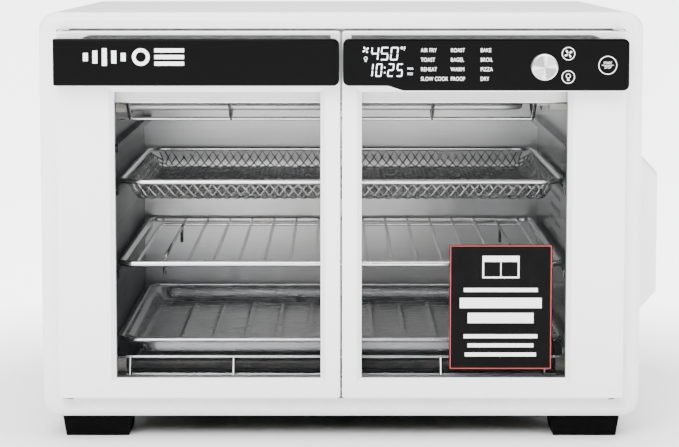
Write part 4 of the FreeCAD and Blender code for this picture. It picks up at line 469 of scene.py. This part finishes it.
stop_front, stop_rear, stop_tip = 0.030, 0.055, 0.0006
for number in range(bar_count):
    x = rack_middle.x + outer_bar * (2 * number / (bar_count - 1) - 1)
    route = [(x, rack_low.y, bar_z)]
    if number in (stop_bar, bar_count - 1 - stop_bar):
        for y in (rack_low.y + stop_front, rack_high.y - stop_rear):
            route += [
                (x, y - stop_half, bar_z), (x, y - stop_tip, bar_z - stop_depth),
                (x, y + stop_tip, bar_z - stop_depth), (x, y + stop_half, bar_z),
            ]
    rack_bar(route + [(x, rack_high.y, bar_z)])
tie_y, tie_end = rack_high.y - 0.0116, 0.0012
rack_bar([(rack_low.x + tie_end, tie_y, bar_z - 2 * rack_wire),
          (rack_high.x - tie_end, tie_y, bar_z - 2 * rack_wire)])


def plain_mesh(thing):
    """The finished shape of an object as a plain mesh; the object itself goes."""
    depsgraph = bpy.context.evaluated_depsgraph_get()
    mesh = bpy.data.meshes.new_from_object(thing.evaluated_get(depsgraph))
    bpy.data.objects.remove(thing)
    return mesh


rack_bars = piece_from(
    "rack_bars", plain_mesh(placed("rack_bars_wire", bars_curve)), bright_wire, "wire_rack"
)
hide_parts("rack_wires")

# ---- air-fry basket's mesh ----
# Flattened expanded wire: a diamond net pressed into a shallow pan with leaning sides, hung in
# the rim of round bar. The strands are one modifier tree's tubes along a net of edges.
mesh_low, mesh_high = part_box("basket_mesh")
lean = 0.010
net_wire = 0.00066
pitch_x, pitch_y = 0.0074, 0.0125
floor_corner = 0.012
net_middle = (mesh_low + mesh_high) / 2
net_half = (mesh_high - mesh_low) / 2
flat_half_x = net_half.x - lean
flat_half_y = net_half.y - lean
fall = mesh_high.z - mesh_low.z
side_run = math.hypot(lean, fall)


def rounded_plan(x, y, limit_x, limit_y):
    """Pulls the points of a square corner in, past two limits, so that it turns round."""
    out_x, out_y = abs(x) - limit_x, abs(y) - limit_y
    if out_x > 0 and out_y > 0:
        share = max(out_x, out_y) / math.hypot(out_x, out_y)
        x = math.copysign(limit_x + out_x * share, x)
        y = math.copysign(limit_y + out_y * share, y)
    return x, y


def on_pan(u, v):
    """Where a point of the flat net lies once it is pressed into the pan."""
    over_x, over_y = abs(u) - flat_half_x, abs(v) - flat_half_y
    rise = max(over_x, over_y, 0) / side_run
    spread = rise * lean
    x = math.copysign(min(abs(u), flat_half_x + (spread if over_x > 0 else 0)), u)
    y = math.copysign(min(abs(v), flat_half_y + (spread if over_y > 0 else 0)), v)
    round_off = floor_corner + spread
    x, y = rounded_plan(
        x, y, flat_half_x + spread - round_off, flat_half_y + spread - round_off
    )
    z = mesh_low.z + net_wire + rise * (fall - net_wire)
    return (net_middle.x + x, net_middle.y + y, z)


columns = int((flat_half_x + side_run) / (pitch_x / 2))
rows = int((flat_half_y + side_run) / (pitch_y / 2))
corner_seam = pitch_x * 0.8
joints, net_points, net_edges = {}, [], []
for i in range(-columns, columns + 1):
    for j in range(-rows, rows + 1):
        if (i + j) % 2:
            continue
        u, v = i * pitch_x / 2, j * pitch_y / 2
        over_x, over_y = abs(u) - flat_half_x, abs(v) - flat_half_y
        if over_x > 0 and over_y > 0 and abs(over_x - over_y) > corner_seam:
            continue
        joints[i, j] = len(net_points)
        net_points.append(on_pan(u, v))
for (i, j), start in joints.items():
    for step in ((1, 1), (1, -1)):
        end = joints.get((i + step[0], j + step[1]))
        if end is not None:
            net_edges.append((start, end))
net_mesh = bpy.data.meshes.new("basket_net_lines")
net_mesh.from_pydata(net_points, net_edges, [])
net_lines = placed("basket_net_lines", net_mesh)

basket_wire = plated_wire("basket_wire", 0.50, 0.20)


def modifier_tree(name, inputs):
    """An empty geometry tree with named inputs: {name: (socket type, value)}."""
    tree = bpy.data.node_groups.new(name, "GeometryNodeTree")
    tree.interface.new_socket("Geometry", in_out="INPUT", socket_type="NodeSocketGeometry")
    for label, (kind, value) in inputs.items():
        made = tree.interface.new_socket(label, in_out="INPUT", socket_type=kind)
        if value is not None:
            made.default_value = value
    tree.interface.new_socket("Geometry", in_out="OUTPUT", socket_type="NodeSocketGeometry")
    return tree


def applied(thing, tree, values, name):
    """Runs a tree on an object and returns the plain mesh that comes out."""
    worker = thing.modifiers.new(name, "NODES")
    worker.node_group = tree
    for item in tree.interface.items_tree:
        if item.in_out == "INPUT" and item.name in values:
            worker[item.identifier] = values[item.name]
    depsgraph = bpy.context.evaluated_depsgraph_get()
    mesh = bpy.data.meshes.new_from_object(thing.evaluated_get(depsgraph))
    mesh.name = name
    thing.modifiers.remove(worker)
    bpy.data.objects.remove(thing)
    return mesh


def joined(tree, *links):
    """Links nodes of a tree: each link is a node, its output, the next node and its input."""
    for giver, output, taker, taken in links:
        tree.links.new(giver.outputs[output], taker.inputs[taken])


strand_tree = modifier_tree(
    "net_strands",
    {"Wire radius": ("NodeSocketFloat", 0.0006), "Finish": ("NodeSocketMaterial", None)},
)
ins = strand_tree.nodes.new("NodeGroupInput")
outs = strand_tree.nodes.new("NodeGroupOutput")
lines = strand_tree.nodes.new("GeometryNodeMeshToCurve")
profile = strand_tree.nodes.new("GeometryNodeCurvePrimitiveCircle")
profile.inputs["Resolution"].default_value = 4
tubes = strand_tree.nodes.new("GeometryNodeCurveToMesh")
tubes.inputs["Fill Caps"].default_value = True
real = strand_tree.nodes.new("GeometryNodeRealizeInstances")
coated = strand_tree.nodes.new("GeometryNodeSetMaterial")
joined(
    strand_tree,
    (ins, "Geometry", lines, "Mesh"), (ins, "Wire radius", profile, "Radius"),
    (lines, "Curve", tubes, "Curve"), (profile, "Curve", tubes, "Profile Curve"),
    (tubes, "Mesh", real, "Geometry"), (real, "Geometry", coated, "Geometry"),
    (ins, "Finish", coated, "Material"), (coated, "Geometry", outs, "Geometry"),
)
net = applied(
    net_lines, strand_tree, {"Wire radius": net_wire, "Finish": basket_wire}, "basket_net"
)
basket_net = piece_from("basket_net", net, basket_wire, "air_fry_basket")
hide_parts("basket_mesh")

# ---- baking tray ----
# One pressing of aluminised steel: a flange with a rolled rim, leaning sides, and ribs pressed
# into its floor from front to back so that it doesn't warp.
tray_low, tray_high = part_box("baking_tray")
tray_middle = (tray_low + tray_high) / 2
tray_half = (tray_high - tray_low) / 2
rim_radius = 0.0019
tray_floor = tray_low.z + 0.0005
flange_z = tray_high.z - rim_radius
pan_flange, pan_lean = 0.0045, 0.009
pan_corner, plan_round = 0.024, 0.0131
rib_pitch, rib_height = 0.0255, 0.0018
rib_inset, rib_fade, rib_narrow = 0.012, 0.008, 6


def tray_height(x, y):
    """How high the pressing stands at a point of its plan, measured from its middle."""
    edge_x = tray_half.x - rim_radius - pan_flange
    edge_y = tray_half.y - rim_radius - pan_flange
    out_x, out_y = abs(x) - (edge_x - pan_corner), abs(y) - (edge_y - pan_corner)
    if out_x > 0 and out_y > 0:
        inside = pan_corner - math.hypot(out_x, out_y)
    else:
        inside = min(edge_x - abs(x), edge_y - abs(y))
    down = min(max(inside / pan_lean, 0), 1)
    soft = down * down * (3 - 2 * down)
    height = flange_z + (tray_floor - flange_z) * soft
    if inside > pan_lean + rib_inset:
        along = min((inside - pan_lean - rib_inset) / rib_fade, 1)
        wave = max(math.cos(2 * math.pi * x / rib_pitch), 0) ** rib_narrow
        height += rib_height * wave * along
    return height


def spaced(half, fine, coarse, edge):
    """Places from -half to half, close together near both ends."""
    inner = int((half - edge) / coarse)
    near = int(edge / fine)
    one = [half - i * fine for i in range(near + 1)]
    middle = [(half - near * fine) * i / inner for i in range(-inner, inner + 1)]
    return sorted(set(round(p, 6) for p in [-p for p in one] + middle + one))


tray_shape = bmesh.new()
fine, across_ribs, along_ribs, edge_band = 0.0015, 0.0017, 0.006, 0.03
plan_x = spaced(tray_half.x - rim_radius, fine, across_ribs, edge_band)
plan_y = spaced(tray_half.y - rim_radius, fine, along_ribs, edge_band)
limits = [half - rim_radius - plan_round for half in (tray_half.x, tray_half.y)]
grid = []
for x in plan_x:
    line = []
    for y in plan_y:
        px, py = rounded_plan(x, y, *limits)
        spot = (tray_middle.x + px, tray_middle.y + py, tray_height(px, py))
        line.append(tray_shape.verts.new(spot))
    grid.append(line)
for near, far in zip(grid, grid[1:]):
    for a, b, c, d in zip(near, far, far[1:], near[1:]):
        tray_shape.faces.new((a, b, c, d))
for face in tray_shape.faces:
    face.smooth = True
tray_mesh = bpy.data.meshes.new("baking_tray_pressing")
tray_shape.to_mesh(tray_mesh)
tray_shape.free()

pan_steel = Finish("aluminised_tray_steel")
streak = pan_steel.noise(0.003, 3.0, stretch=(0.05, 1, 1), rough=0.6)
scratch = pan_steel.ramp(
    pan_steel.noise(0.0018, 2.0, stretch=(0.08, 1, 1), turn=(0, 0, 0.7)),
    (0.62, 0.0), (0.66, 1.0),
)
tray_steel = pan_steel.done(
    Base_Color=pan_steel.blend(streak, (0.38, 0.38, 0.39, 1), (0.50, 0.50, 0.51, 1)),
    Metallic=1.0,
    Roughness=0.15 + streak * 0.10 + scratch * 0.15,
    Normal=pan_steel.bump(scratch + streak * 0.4, 0.03, 0.0002),
)
tray_skin = placed("tray_skin", tray_mesh)
thicken = tray_skin.modifiers.new("sheet", "SOLIDIFY")
thicken.thickness = 0.0008
thicken.offset = 0
pressed = plain_mesh(tray_skin)


def loop_tube(mesh_out, centre, half_x, half_y, corner, radius, around=10, arc=8):
    """Adds a closed round-bar loop with rounded corners to a bmesh."""
    path = []
    for quarter, (sx, sy) in enumerate(((1, 1), (-1, 1), (-1, -1), (1, -1))):
        for step in range(arc + 1):
            angle = math.radians(90 * quarter + 90 * step / arc)
            path.append(Vector((
                centre.x + sx * (half_x - corner) + corner * math.cos(angle),
                centre.y + sy * (half_y - corner) + corner * math.sin(angle),
                centre.z,
            )))
    rings = []
    for i, point in enumerate(path):
        ahead = (path[(i + 1) % len(path)] - path[i - 1]).normalized()
        out = ahead.cross(Vector((0, 0, 1)))
        rings.append([
            mesh_out.verts.new(point + radius * (
                out * math.cos(2 * math.pi * k / around)
                + Vector((0, 0, 1)) * math.sin(2 * math.pi * k / around)
            ))
            for k in range(around)
        ])
    for one, two in zip(rings, rings[1:] + rings[:1]):
        for k in range(around):
            following = (k + 1) % around
            face = mesh_out.faces.new((one[k], two[k], two[following], one[following]))
            face.smooth = True


whole_tray = bmesh.new()
whole_tray.from_mesh(pressed)
rim_centre = Vector((tray_middle.x, tray_middle.y, flange_z))
loop_tube(whole_tray, rim_centre, tray_half.x - rim_radius, tray_half.y - rim_radius,
          plan_round, rim_radius)
bmesh.ops.recalc_face_normals(whole_tray, faces=whole_tray.faces)
whole_tray.to_mesh(pressed)
whole_tray.free()
tray_piece = piece_from("ribbed_baking_tray", pressed, tray_steel, "tray")
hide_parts("baking_tray")

# ---- crumb tray and fan ----
# Plain aluminium: a flat tray that slides out under the lower heaters, and the fan's impeller.
plain = Finish("mill_aluminium")
roll = plain.noise(0.003, 3.0, stretch=(0.03, 1, 1))
crumbs = plain.ramp(plain.noise(0.004, 6.0, rough=0.8), (0.66, 0.0), (0.72, 1.0))
give(
    plain.done(
        Base_Color=plain.blend(
            crumbs * 0.5, plain.blend(roll, (0.62, 0.62, 0.63, 1), (0.74, 0.74, 0.75, 1)),
            (0.30, 0.22, 0.14, 1),
        ),
        Metallic=1.0,
        Roughness=0.30 + roll * 0.1 + crumbs * 0.2,
        Normal=plain.bump(roll, 0.1, 0.0002),
    ),
    "crumb_tray", "fan_impeller",
)

# ---- screws, hinges and shafts ----
# Turned and pressed steel: pan head screws, hinge tabs with their pins, and the shafts of the
# knob and the fan. The washers are natural nylon and the catches dark ferrite.
turned = Finish("turned_steel")
ring = turned.noise(0.0012, 3.0)
machine_steel = turned.done(
    Base_Color=turned.blend(ring, (0.42, 0.42, 0.43, 1), (0.60, 0.60, 0.61, 1)),
    Metallic=1.0,
    Roughness=0.28 + ring * 0.14,
    Normal=turned.bump(ring, 0.15, 0.0002),
)
give(machine_steel, "foot_screws", "left_door_screws", "right_door_screws", "knob_shaft",
     "fan_shaft", "knob_encoder", "left_hinge_plates", "right_hinge_plates")
nylon_finish = Finish("natural_nylon")
milk = nylon_finish.noise(0.002, 3.0)
give(
    nylon_finish.done(
        Base_Color=nylon_finish.blend(milk, (0.78, 0.77, 0.72, 1), (0.86, 0.86, 0.82, 1)),
        Roughness=0.4 + milk * 0.1,
    ),
    "hinge_washers",
)
ferrite = Finish("ferrite_magnet")
fleck = ferrite.noise(0.0008, 4.0, rough=0.8)
give(
    ferrite.done(
        Base_Color=ferrite.blend(fleck, (0.015, 0.015, 0.016, 1), (0.06, 0.06, 0.06, 1)),
        Metallic=0.3, Roughness=0.5 + fleck * 0.2,
    ),
    "magnet_catches",
)

# The back's six screws have a cross recess each. One head is shaped once, and a modifier tree
# sets it on every screw's place.
screws_low, screws_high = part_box("rear_screws")
head_radius = 0.0029
head_back = screws_high.y
seat_deep, shoulder_deep, crown_share = 0.0013, 0.0005, 0.86
recess_arm, recess_half, recess_deep, recess_taper = 0.0017, 0.00035, 0.0008, 0.7
cross = bmesh.new()
head_sides = 20
outline = []
for k in range(head_sides):
    angle = 2 * math.pi * k / head_sides
    outline.append((head_radius * math.cos(angle), head_radius * math.sin(angle)))
plus = []
for quarter in range(4):
    turn = Matrix.Rotation(math.radians(90 * quarter), 2)
    for point in (
        (recess_arm, -recess_half), (recess_arm, recess_half), (recess_half, recess_half)
    ):
        spot = turn @ Vector(point)
        plus.append((spot.x, spot.y))


def level_ring(points, share, z):
    """A ring of corners of the screw's head at one height."""
    return [cross.verts.new((x * share, y * share, z)) for x, y in points]


seat = level_ring(outline, 1, -seat_deep)
shoulder = level_ring(outline, 1, -shoulder_deep)
crown = level_ring(outline, crown_share, 0)
mouth = level_ring(plus, 1, 0)
bottom = level_ring(plus, recess_taper, -recess_deep)
cross.faces.new(seat[::-1])
for lower, upper in ((seat, shoulder), (shoulder, crown), (mouth, bottom)):
    count = len(lower)
    for k in range(count):
        cross.faces.new((lower[k], lower[(k + 1) % count], upper[(k + 1) % count], upper[k]))
cross.faces.new(bottom)
top_edges = [
    cross.edges.get((loop[k], loop[(k + 1) % len(loop)]))
    for loop in (crown, mouth) for k in range(len(loop))
]
bmesh.ops.triangle_fill(cross, use_beauty=True, edges=top_edges)
bmesh.ops.recalc_face_normals(cross, faces=cross.faces)
cross.transform(Matrix.Rotation(math.radians(-90), 4, "X"))
head_mesh = bpy.data.meshes.new("screw_head")
cross.to_mesh(head_mesh)
cross.free()
head_object = placed("screw_head", head_mesh)

places = bpy.data.meshes.new("rear_screw_places")
screws_middle = (screws_low.z + screws_high.z) / 2
places.from_pydata(
    [(x, head_back, z)
     for x in (screws_low.x + head_radius, screws_high.x - head_radius)
     for z in (screws_low.z + head_radius, screws_middle, screws_high.z - head_radius)],
    [], [],
)
places_object = placed("rear_screw_places", places)
screw_tree = modifier_tree(
    "screws_on_places",
    {"Screw": ("NodeSocketObject", None), "Finish": ("NodeSocketMaterial", None)},
)
ins = screw_tree.nodes.new("NodeGroupInput")
outs = screw_tree.nodes.new("NodeGroupOutput")
holes = screw_tree.nodes.new("GeometryNodeMeshToPoints")
one_screw = screw_tree.nodes.new("GeometryNodeObjectInfo")
set_on = screw_tree.nodes.new("GeometryNodeInstanceOnPoints")
real = screw_tree.nodes.new("GeometryNodeRealizeInstances")
coated = screw_tree.nodes.new("GeometryNodeSetMaterial")
joined(
    screw_tree,
    (ins, "Geometry", holes, "Mesh"), (ins, "Screw", one_screw, "Object"),
    (holes, "Points", set_on, "Points"), (one_screw, "Geometry", set_on, "Instance"),
    (set_on, "Instances", real, "Geometry"), (real, "Geometry", coated, "Geometry"),
    (ins, "Finish", coated, "Material"), (coated, "Geometry", outs, "Geometry"),
)
heads = applied(
    places_object, screw_tree, {"Screw": head_object, "Finish": machine_steel}, "cross_head_screws"
)
bpy.data.objects.remove(head_object)
rear_heads = piece_from("cross_head_screws", heads, machine_steel, "casing")
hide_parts("rear_screws")

# ---- boards inside ----
# Green solder mask over copper tracks; the display behind the panel is a smoked window.
board = Finish("solder_mask")
tracks = board.node(
    "ShaderNodeTexBrick", {}, {"Vector": board.place(), "Scale": 120.0, "Mortar Size": 0.03}, 1
)
give(
    board.done(
        Base_Color=board.blend(tracks, (0.012, 0.10, 0.035, 1), (0.03, 0.22, 0.09, 1)),
        Roughness=0.35 + tracks * 0.1,
    ),
    "power_board", "control_board",
)

# ---- window glass ----
# Tempered float glass, four millimetres thick, faintly grey, with a few wiped smears.
pane = Finish("tempered_glass")
smear = pane.ramp(pane.noise(0.05, 5.0, stretch=(0.5, 1, 1.6), rough=0.65), (0.5, 0.0), (0.85, 1.0))
give(
    pane.done(
        Base_Color=(0.02, 0.023, 0.024, 1),
        Roughness=0.03 + smear * 0.10,
        Alpha=0.07 + smear * 0.02,
        Specular_IOR_Level=0.06,
    ),
    "left_door_glass", "right_door_glass",
)

# ---- handle strip and control panel ----
# Glossy black mouldings clipped to the doors, with the finger pockets behind their top edges.
gloss = Finish("piano_black_plastic")
lint = gloss.ramp(gloss.noise(0.0016, 5.0, rough=0.8), (0.70, 0.0), (0.76, 1.0))
wipe = gloss.ramp(gloss.noise(0.03, 5.0, stretch=(0.4, 1, 1.5)), (0.45, 0.0), (0.85, 1.0))
piano_black = gloss.done(
    Base_Color=gloss.blend(lint * 0.4, (0.0010, 0.0010, 0.0012, 1), (0.015, 0.015, 0.015, 1)),
    Roughness=0.07 + wipe * 0.07 + lint * 0.2,
    Specular_IOR_Level=0.04,
)
give(piano_black, "left_handle_strip", "control_panel", "display_module")

# ---- printing on the panel ----
# Screen-printed white ink: the names of ordinary cooking modes, the rings of the touch keys
# and plain pictures in them. The display's digits glow through the black.
panel_low, panel_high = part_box("control_panel")
panel_face = panel_low.y
panel_top = panel_high.z
panel_left = panel_low.x
ink_thick, ink_sunk = 0.00012, 0.00002


def slab(shape, outline, holes=(), face=None, thick=ink_thick):
    """Adds a flat printed shape to a bmesh: an outline in x and z, standing just off a face."""
    face = panel_face if face is None else face
    front, back = face - thick, face + ink_sunk
    fronts, backs = [], []
    for corners in [outline] + list(holes):
        near = [shape.verts.new((x, front, z)) for x, z in corners]
        far = [shape.verts.new((x, back, z)) for x, z in corners]
        fronts.append(near)
        backs.append(far)
        count = len(corners)
        for k in range(count):
            shape.faces.new((near[k], near[(k + 1) % count], far[(k + 1) % count], far[k]))
    for rings in (fronts, backs):
        edges = [
            shape.edges.get((ring[k], ring[(k + 1) % len(ring)]))
            for ring in rings for k in range(len(ring))
        ]
        bmesh.ops.triangle_fill(shape, use_beauty=True, edges=edges)


def printed(name, shape, ink_finish, body):
    """Turns a bmesh of printed shapes into a piece that rides on a body."""
    mesh = bpy.data.meshes.new(name)
    bmesh.ops.recalc_face_normals(shape, faces=shape.faces)
    shape.to_mesh(mesh)
    shape.free()
    return piece_from(name, mesh, ink_finish, body)


def disc(x, z, radius, count=40):
    return [(x + radius * math.cos(2 * math.pi * k / count),
             z + radius * math.sin(2 * math.pi * k / count)) for k in range(count)]


def bar(x, z, width, height, slant=0.0):
    """A bar with its middle at x, z; slant leans its top to the right."""
    w, h, s = width / 2, height / 2, slant * height / 2
    return [(x - w - s, z - h), (x + w - s, z - h), (x + w + s, z + h), (x - w + s, z + h)]


capital_share, narrowed = 0.72, 0.78


def word(shape, text, x, z, height, align="LEFT"):
    """Adds a printed word to a bmesh; height is its capitals' height."""
    curve = bpy.data.curves.new("word", "FONT")
    curve.body = text
    curve.size = height / capital_share
    curve.align_x = align
    curve.align_y = "CENTER"
    curve.space_character = 1.04
    curve.extrude = ink_thick / 2
    letters = plain_mesh(placed("word", curve))
    front = panel_face - ink_thick / 2
    stand = Matrix.Rotation(math.radians(90), 4, "X") @ Matrix.Diagonal((narrowed, 1, 1, 1))
    letters.transform(Matrix.Translation((x, front, z)) @ stand)
    shape.from_mesh(letters)
    bpy.data.meshes.remove(letters)


# The white ink is given a faint glow: painted light, since the print is no lamp.
ink = Finish("white_ink_painted_glow")
pinhole = ink.noise(0.0006, 2.0)
white_ink_painted_glow = ink.done(
    Base_Color=ink.blend(pinhole, (0.70, 0.70, 0.70, 1), (0.86, 0.86, 0.86, 1)),
    Roughness=0.45 + pinhole * 0.1,
    Emission_Color=(0.9, 0.9, 0.9, 1),
    Emission_Strength=0.25,
)

printing = bmesh.new()
modes = [
    ("AIR FRY", "ROAST", "BAKE"),
    ("TOAST", "BAGEL", "BROIL"),
    ("REHEAT", "WARM", "PIZZA"),
    ("SLOW COOK", "PROOF", "DRY"),
]
mode_left, mode_step = panel_left + 0.0576, 0.0221
mode_top, mode_drop = panel_top - 0.0086, 0.00707
for line_number, names in enumerate(modes):
    for column, name in enumerate(names):
        word(printing, name, mode_left + column * mode_step,
             mode_top - line_number * mode_drop, 0.0030)
knob_low, knob_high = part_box("control_knob")
knob_middle = (knob_low + knob_high) / 2
keys_x = knob_middle.x + 0.0183
fan_key = (keys_x, knob_middle.z + 0.0096)
light_key = (keys_x, knob_middle.z - 0.0077)
start_key = (knob_middle.x + 0.0475, knob_middle.z + 0.0010)
key_line = 0.00055
for (x, z), radius in ((fan_key, 0.0049), (light_key, 0.0049), (start_key, 0.0069)):
    slab(printing, disc(x, z, radius), [disc(x, z, radius - key_line)])


def propeller(shape, x, z, size):
    """Four curved blades, the plain picture for a fan."""
    for blade in range(4):
        turn = math.radians(90 * blade + 20)
        curve = []
        for along, across in ((0.12, 0.02), (0.45, 0.34), (0.85, 0.42), (1.0, 0.15),
                              (0.86, -0.06), (0.5, -0.02)):
            px, pz = along * size, across * size
            curve.append((x + px * math.cos(turn) - pz * math.sin(turn),
                          z + px * math.sin(turn) + pz * math.cos(turn)))
        slab(shape, curve)


def lamp_picture(shape, x, z, size):
    """A bulb over two bars, the plain picture for a light."""
    bulb_z = z + size * 0.25
    slab(shape, disc(x, bulb_z, size * 0.62, 24), [disc(x, bulb_z, size * 0.45, 24)])
    for step in (0.58, 0.86):
        slab(shape, bar(x, z - size * step, size * 0.6, size * 0.16))


propeller(printing, *fan_key, 0.0031)
lamp_picture(printing, *light_key, 0.0029)
word(printing, "START", start_key[0], start_key[1] + 0.0016, 0.0019, align="CENTER")
word(printing, "STOP", start_key[0], start_key[1] - 0.0017, 0.0019, align="CENTER")
slab(printing, bar(start_key[0], start_key[1], 0.0088, 0.0003))
panel_printing = printed("panel_printing", printing, white_ink_painted_glow, "right_door")

glow = Finish("display_glow")
grain = glow.noise(0.0009, 2.0)
digit_light = glow.done(
    Base_Color=(0.75, 0.78, 0.80, 1),
    Roughness=0.5,
    Emission_Color=glow.blend(grain, (0.86, 0.92, 0.96, 1), (0.97, 0.99, 1.0, 1)),
    Emission_Strength=1.1,
)
SEGMENTS = {
    "0": "abcdef", "1": "bc", "2": "abged", "3": "abgcd", "4": "fgbc", "5": "afgcd",
    "6": "afgedc", "7": "abc", "8": "abcdefg", "9": "abcdfg",
}


def digit(shape, figure, x, z, width, height, thick):
    """One seven-segment figure, leaning a little to the right."""
    lean_by = 0.10
    w, h = width / 2, height / 2
    level, upright = width - thick * 1.2, height / 2 - thick * 1.1
    spots = {
        "a": (0, h - thick / 2, level, thick), "g": (0, 0, level, thick),
        "d": (0, -h + thick / 2, level, thick),
        "f": (-w + thick / 2, h / 2, thick, upright), "b": (w - thick / 2, h / 2, thick, upright),
        "e": (-w + thick / 2, -h / 2, thick, upright), "c": (w - thick / 2, -h / 2, thick, upright),
    }
    for name in SEGMENTS[figure]:
        dx, dz, length, tall = spots[name]
        slab(shape, bar(x + dx + lean_by * dz, z + dz, length, tall, lean_by))


digits = bmesh.new()
digit_width, digit_height, digit_thick = 0.0056, 0.0098, 0.0009
row_one, row_two = panel_top - 0.0110, panel_top - 0.0232
first_digit, heat_step = panel_left + 0.0236, 0.0072
first_time, time_step, colon_room, time_width = first_digit - 0.0036, 0.0066, 0.0022, 0.0046
for k, figure in enumerate("450"):
    digit(digits, figure, first_digit + k * heat_step, row_one, digit_width, digit_height,
          digit_thick)
for k, figure in enumerate("1025"):
    gap = colon_room if k > 1 else 0
    digit(digits, figure, first_time + k * time_step + gap, row_two, time_width, digit_height,
          digit_thick)
for dz in (0.0019, -0.0019):
    slab(digits, disc(first_digit + 0.0073, row_two + dz, 0.0006, 12))
degree = (first_digit + 0.0200, row_one + 0.0042)
slab(digits, disc(*degree, 0.0009, 16), [disc(*degree, 0.0005, 16)])
word(digits, "F", first_digit + 0.0213, row_one + 0.0036, 0.0030)
word(digits, "MINS", first_digit + 0.0241, row_two + 0.0010, 0.0017)
word(digits, "SECS", first_digit + 0.0241, row_two - 0.0028, 0.0017)
propeller(digits, first_digit - 0.0068, row_one + 0.0028, 0.0026)
lamp_picture(digits, first_digit - 0.0068, row_one - 0.0040, 0.0021)
display_digits = printed("display_digits", digits, digit_light, "right_door")

# A wordless emblem on the left strip: five upright bars, a ring and three level bars.
strip_low, strip_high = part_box("left_handle_strip")
emblem = bmesh.new()
emblem_left = strip_low.x + 0.0205
emblem_z = strip_high.z - 0.0135
first_bar, bar_apart = emblem_left + 0.004, 0.007
for number, tall in enumerate((0.006, 0.0095, 0.013, 0.0095, 0.006)):
    slab(emblem, bar(first_bar + number * bar_apart, emblem_z, 0.0036, tall), face=strip_low.y)
slab(emblem, disc(emblem_left + 0.045, emblem_z, 0.0065),
     [disc(emblem_left + 0.045, emblem_z, 0.0038)], face=strip_low.y)
for lift in (0.0049, 0, -0.0049):
    slab(emblem, bar(emblem_left + 0.066, emblem_z + lift, 0.022, 0.0030), face=strip_low.y)
strip_emblem = printed("strip_emblem", emblem, white_ink_painted_glow, "left_door")

# ---- window label ----
# A smoked film with a thin red line round its edge, a plain picture of an oven and bars where
# a shop's words would be.
film = Finish("label_film_print")
haze = film.noise(0.01, 3.0)
give(
    film.done(
        Base_Color=film.blend(haze, (0.0015, 0.0015, 0.0015, 1), (0.004, 0.0035, 0.0035, 1)),
        Roughness=0.22 + haze * 0.08,
        Specular_IOR_Level=0.03,
    ),
    "window_label",
)
label_low, label_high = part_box("window_label")
label_face = label_low.y
label_thick = 0.00006
label_middle = (label_low + label_high) / 2
red = Finish("red_line_ink")
red_tone = red.noise(0.002, 2.0)
red_ink = red.done(
    Base_Color=red.blend(red_tone, (0.30, 0.012, 0.014, 1), (0.42, 0.022, 0.022, 1)),
    Roughness=0.35 + red_tone * 0.1,
)


def boxed(x0, x1, z0, z1):
    return [(x0, z0), (x1, z0), (x1, z1), (x0, z1)]


border = bmesh.new()
edge_in, line_width = 0.0006, 0.0006
outer = [(label_low.x + edge_in, label_high.x - edge_in),
         (label_low.z + edge_in, label_high.z - edge_in)]
inner = [(least + line_width, most - line_width) for least, most in outer]
slab(border, boxed(*outer[0], *outer[1]), [boxed(*inner[0], *inner[1])], face=label_face,
     thick=label_thick)
label_border = printed("label_border", border, red_ink, "right_door")

picture = bmesh.new()
px, pz = label_middle.x, label_high.z - 0.017
slab(picture, boxed(px - 0.0140, px + 0.0140, pz - 0.0085, pz + 0.0085),
     [boxed(px - 0.0128, px - 0.0004, pz - 0.0073, pz + 0.0040),
      boxed(px + 0.0004, px + 0.0128, pz - 0.0073, pz + 0.0040)],
     face=label_face, thick=label_thick)
bars = [(0.0345, 0.0560, 0.0030), (0.0445, 0.0620, 0.0078), (0.0560, 0.0500, 0.0078),
        (0.0700, 0.0560, 0.0030), (0.0770, 0.0500, 0.0030), (0.0840, 0.0540, 0.0030)]
for down, wide, tall in bars:
    slab(picture, bar(px, label_high.z - down, wide, tall), face=label_face, thick=label_thick)
label_picture = printed("label_picture", picture, white_ink_painted_glow, "right_door")

# ---- control knob ----
# Turned aluminium with a bright chamfer. Its face shows fine rings round its own axis, and two
# soft bright wedges painted into its colour round that axis as a painted reflection.
knob_finish = Finish("turned_aluminium")
offset = knob_finish.place(centre=tuple(knob_middle))
x_part = knob_finish.node("ShaderNodeSeparateXYZ", {}, {0: offset}, 0)
z_part = knob_finish.node("ShaderNodeSeparateXYZ", {}, {0: offset}, 2)
distance = (x_part * x_part + z_part * z_part) ** 0.5
grooves = knob_finish.node(
    "ShaderNodeTexNoise", {"noise_dimensions": "1D"}, {"W": distance * 9000.0, "Detail": 2.0}
)
axis_speck = 1e-9
# The colour is lightened in two wedges by the angle round the axis: a painted reflection.
lean = (x_part * z_part) / (distance * distance + axis_speck)
painted_reflection_wedges = knob_finish.ramp(lean + 0.5, (0.25, 0.28), (0.42, 0.62), (0.60, 0.95), (0.85, 0.55))
tone = knob_finish.blend(0.9, (0.6, 0.6, 0.6, 1), painted_reflection_wedges)
knob_radius = (knob_high.x - knob_low.x) / 2
chamfer = knob_finish.ramp(distance / knob_radius, (0.896, 0.0), (0.9375, 1.0))
give(
    knob_finish.done(
        Base_Color=knob_finish.blend(chamfer, tone, (0.95, 0.95, 0.96, 1)),
        Metallic=1.0,
        Roughness=0.24 + grooves * 0.14,
        Normal=knob_finish.bump(grooves, 0.25, 0.0002),
    ),
    "control_knob",
)
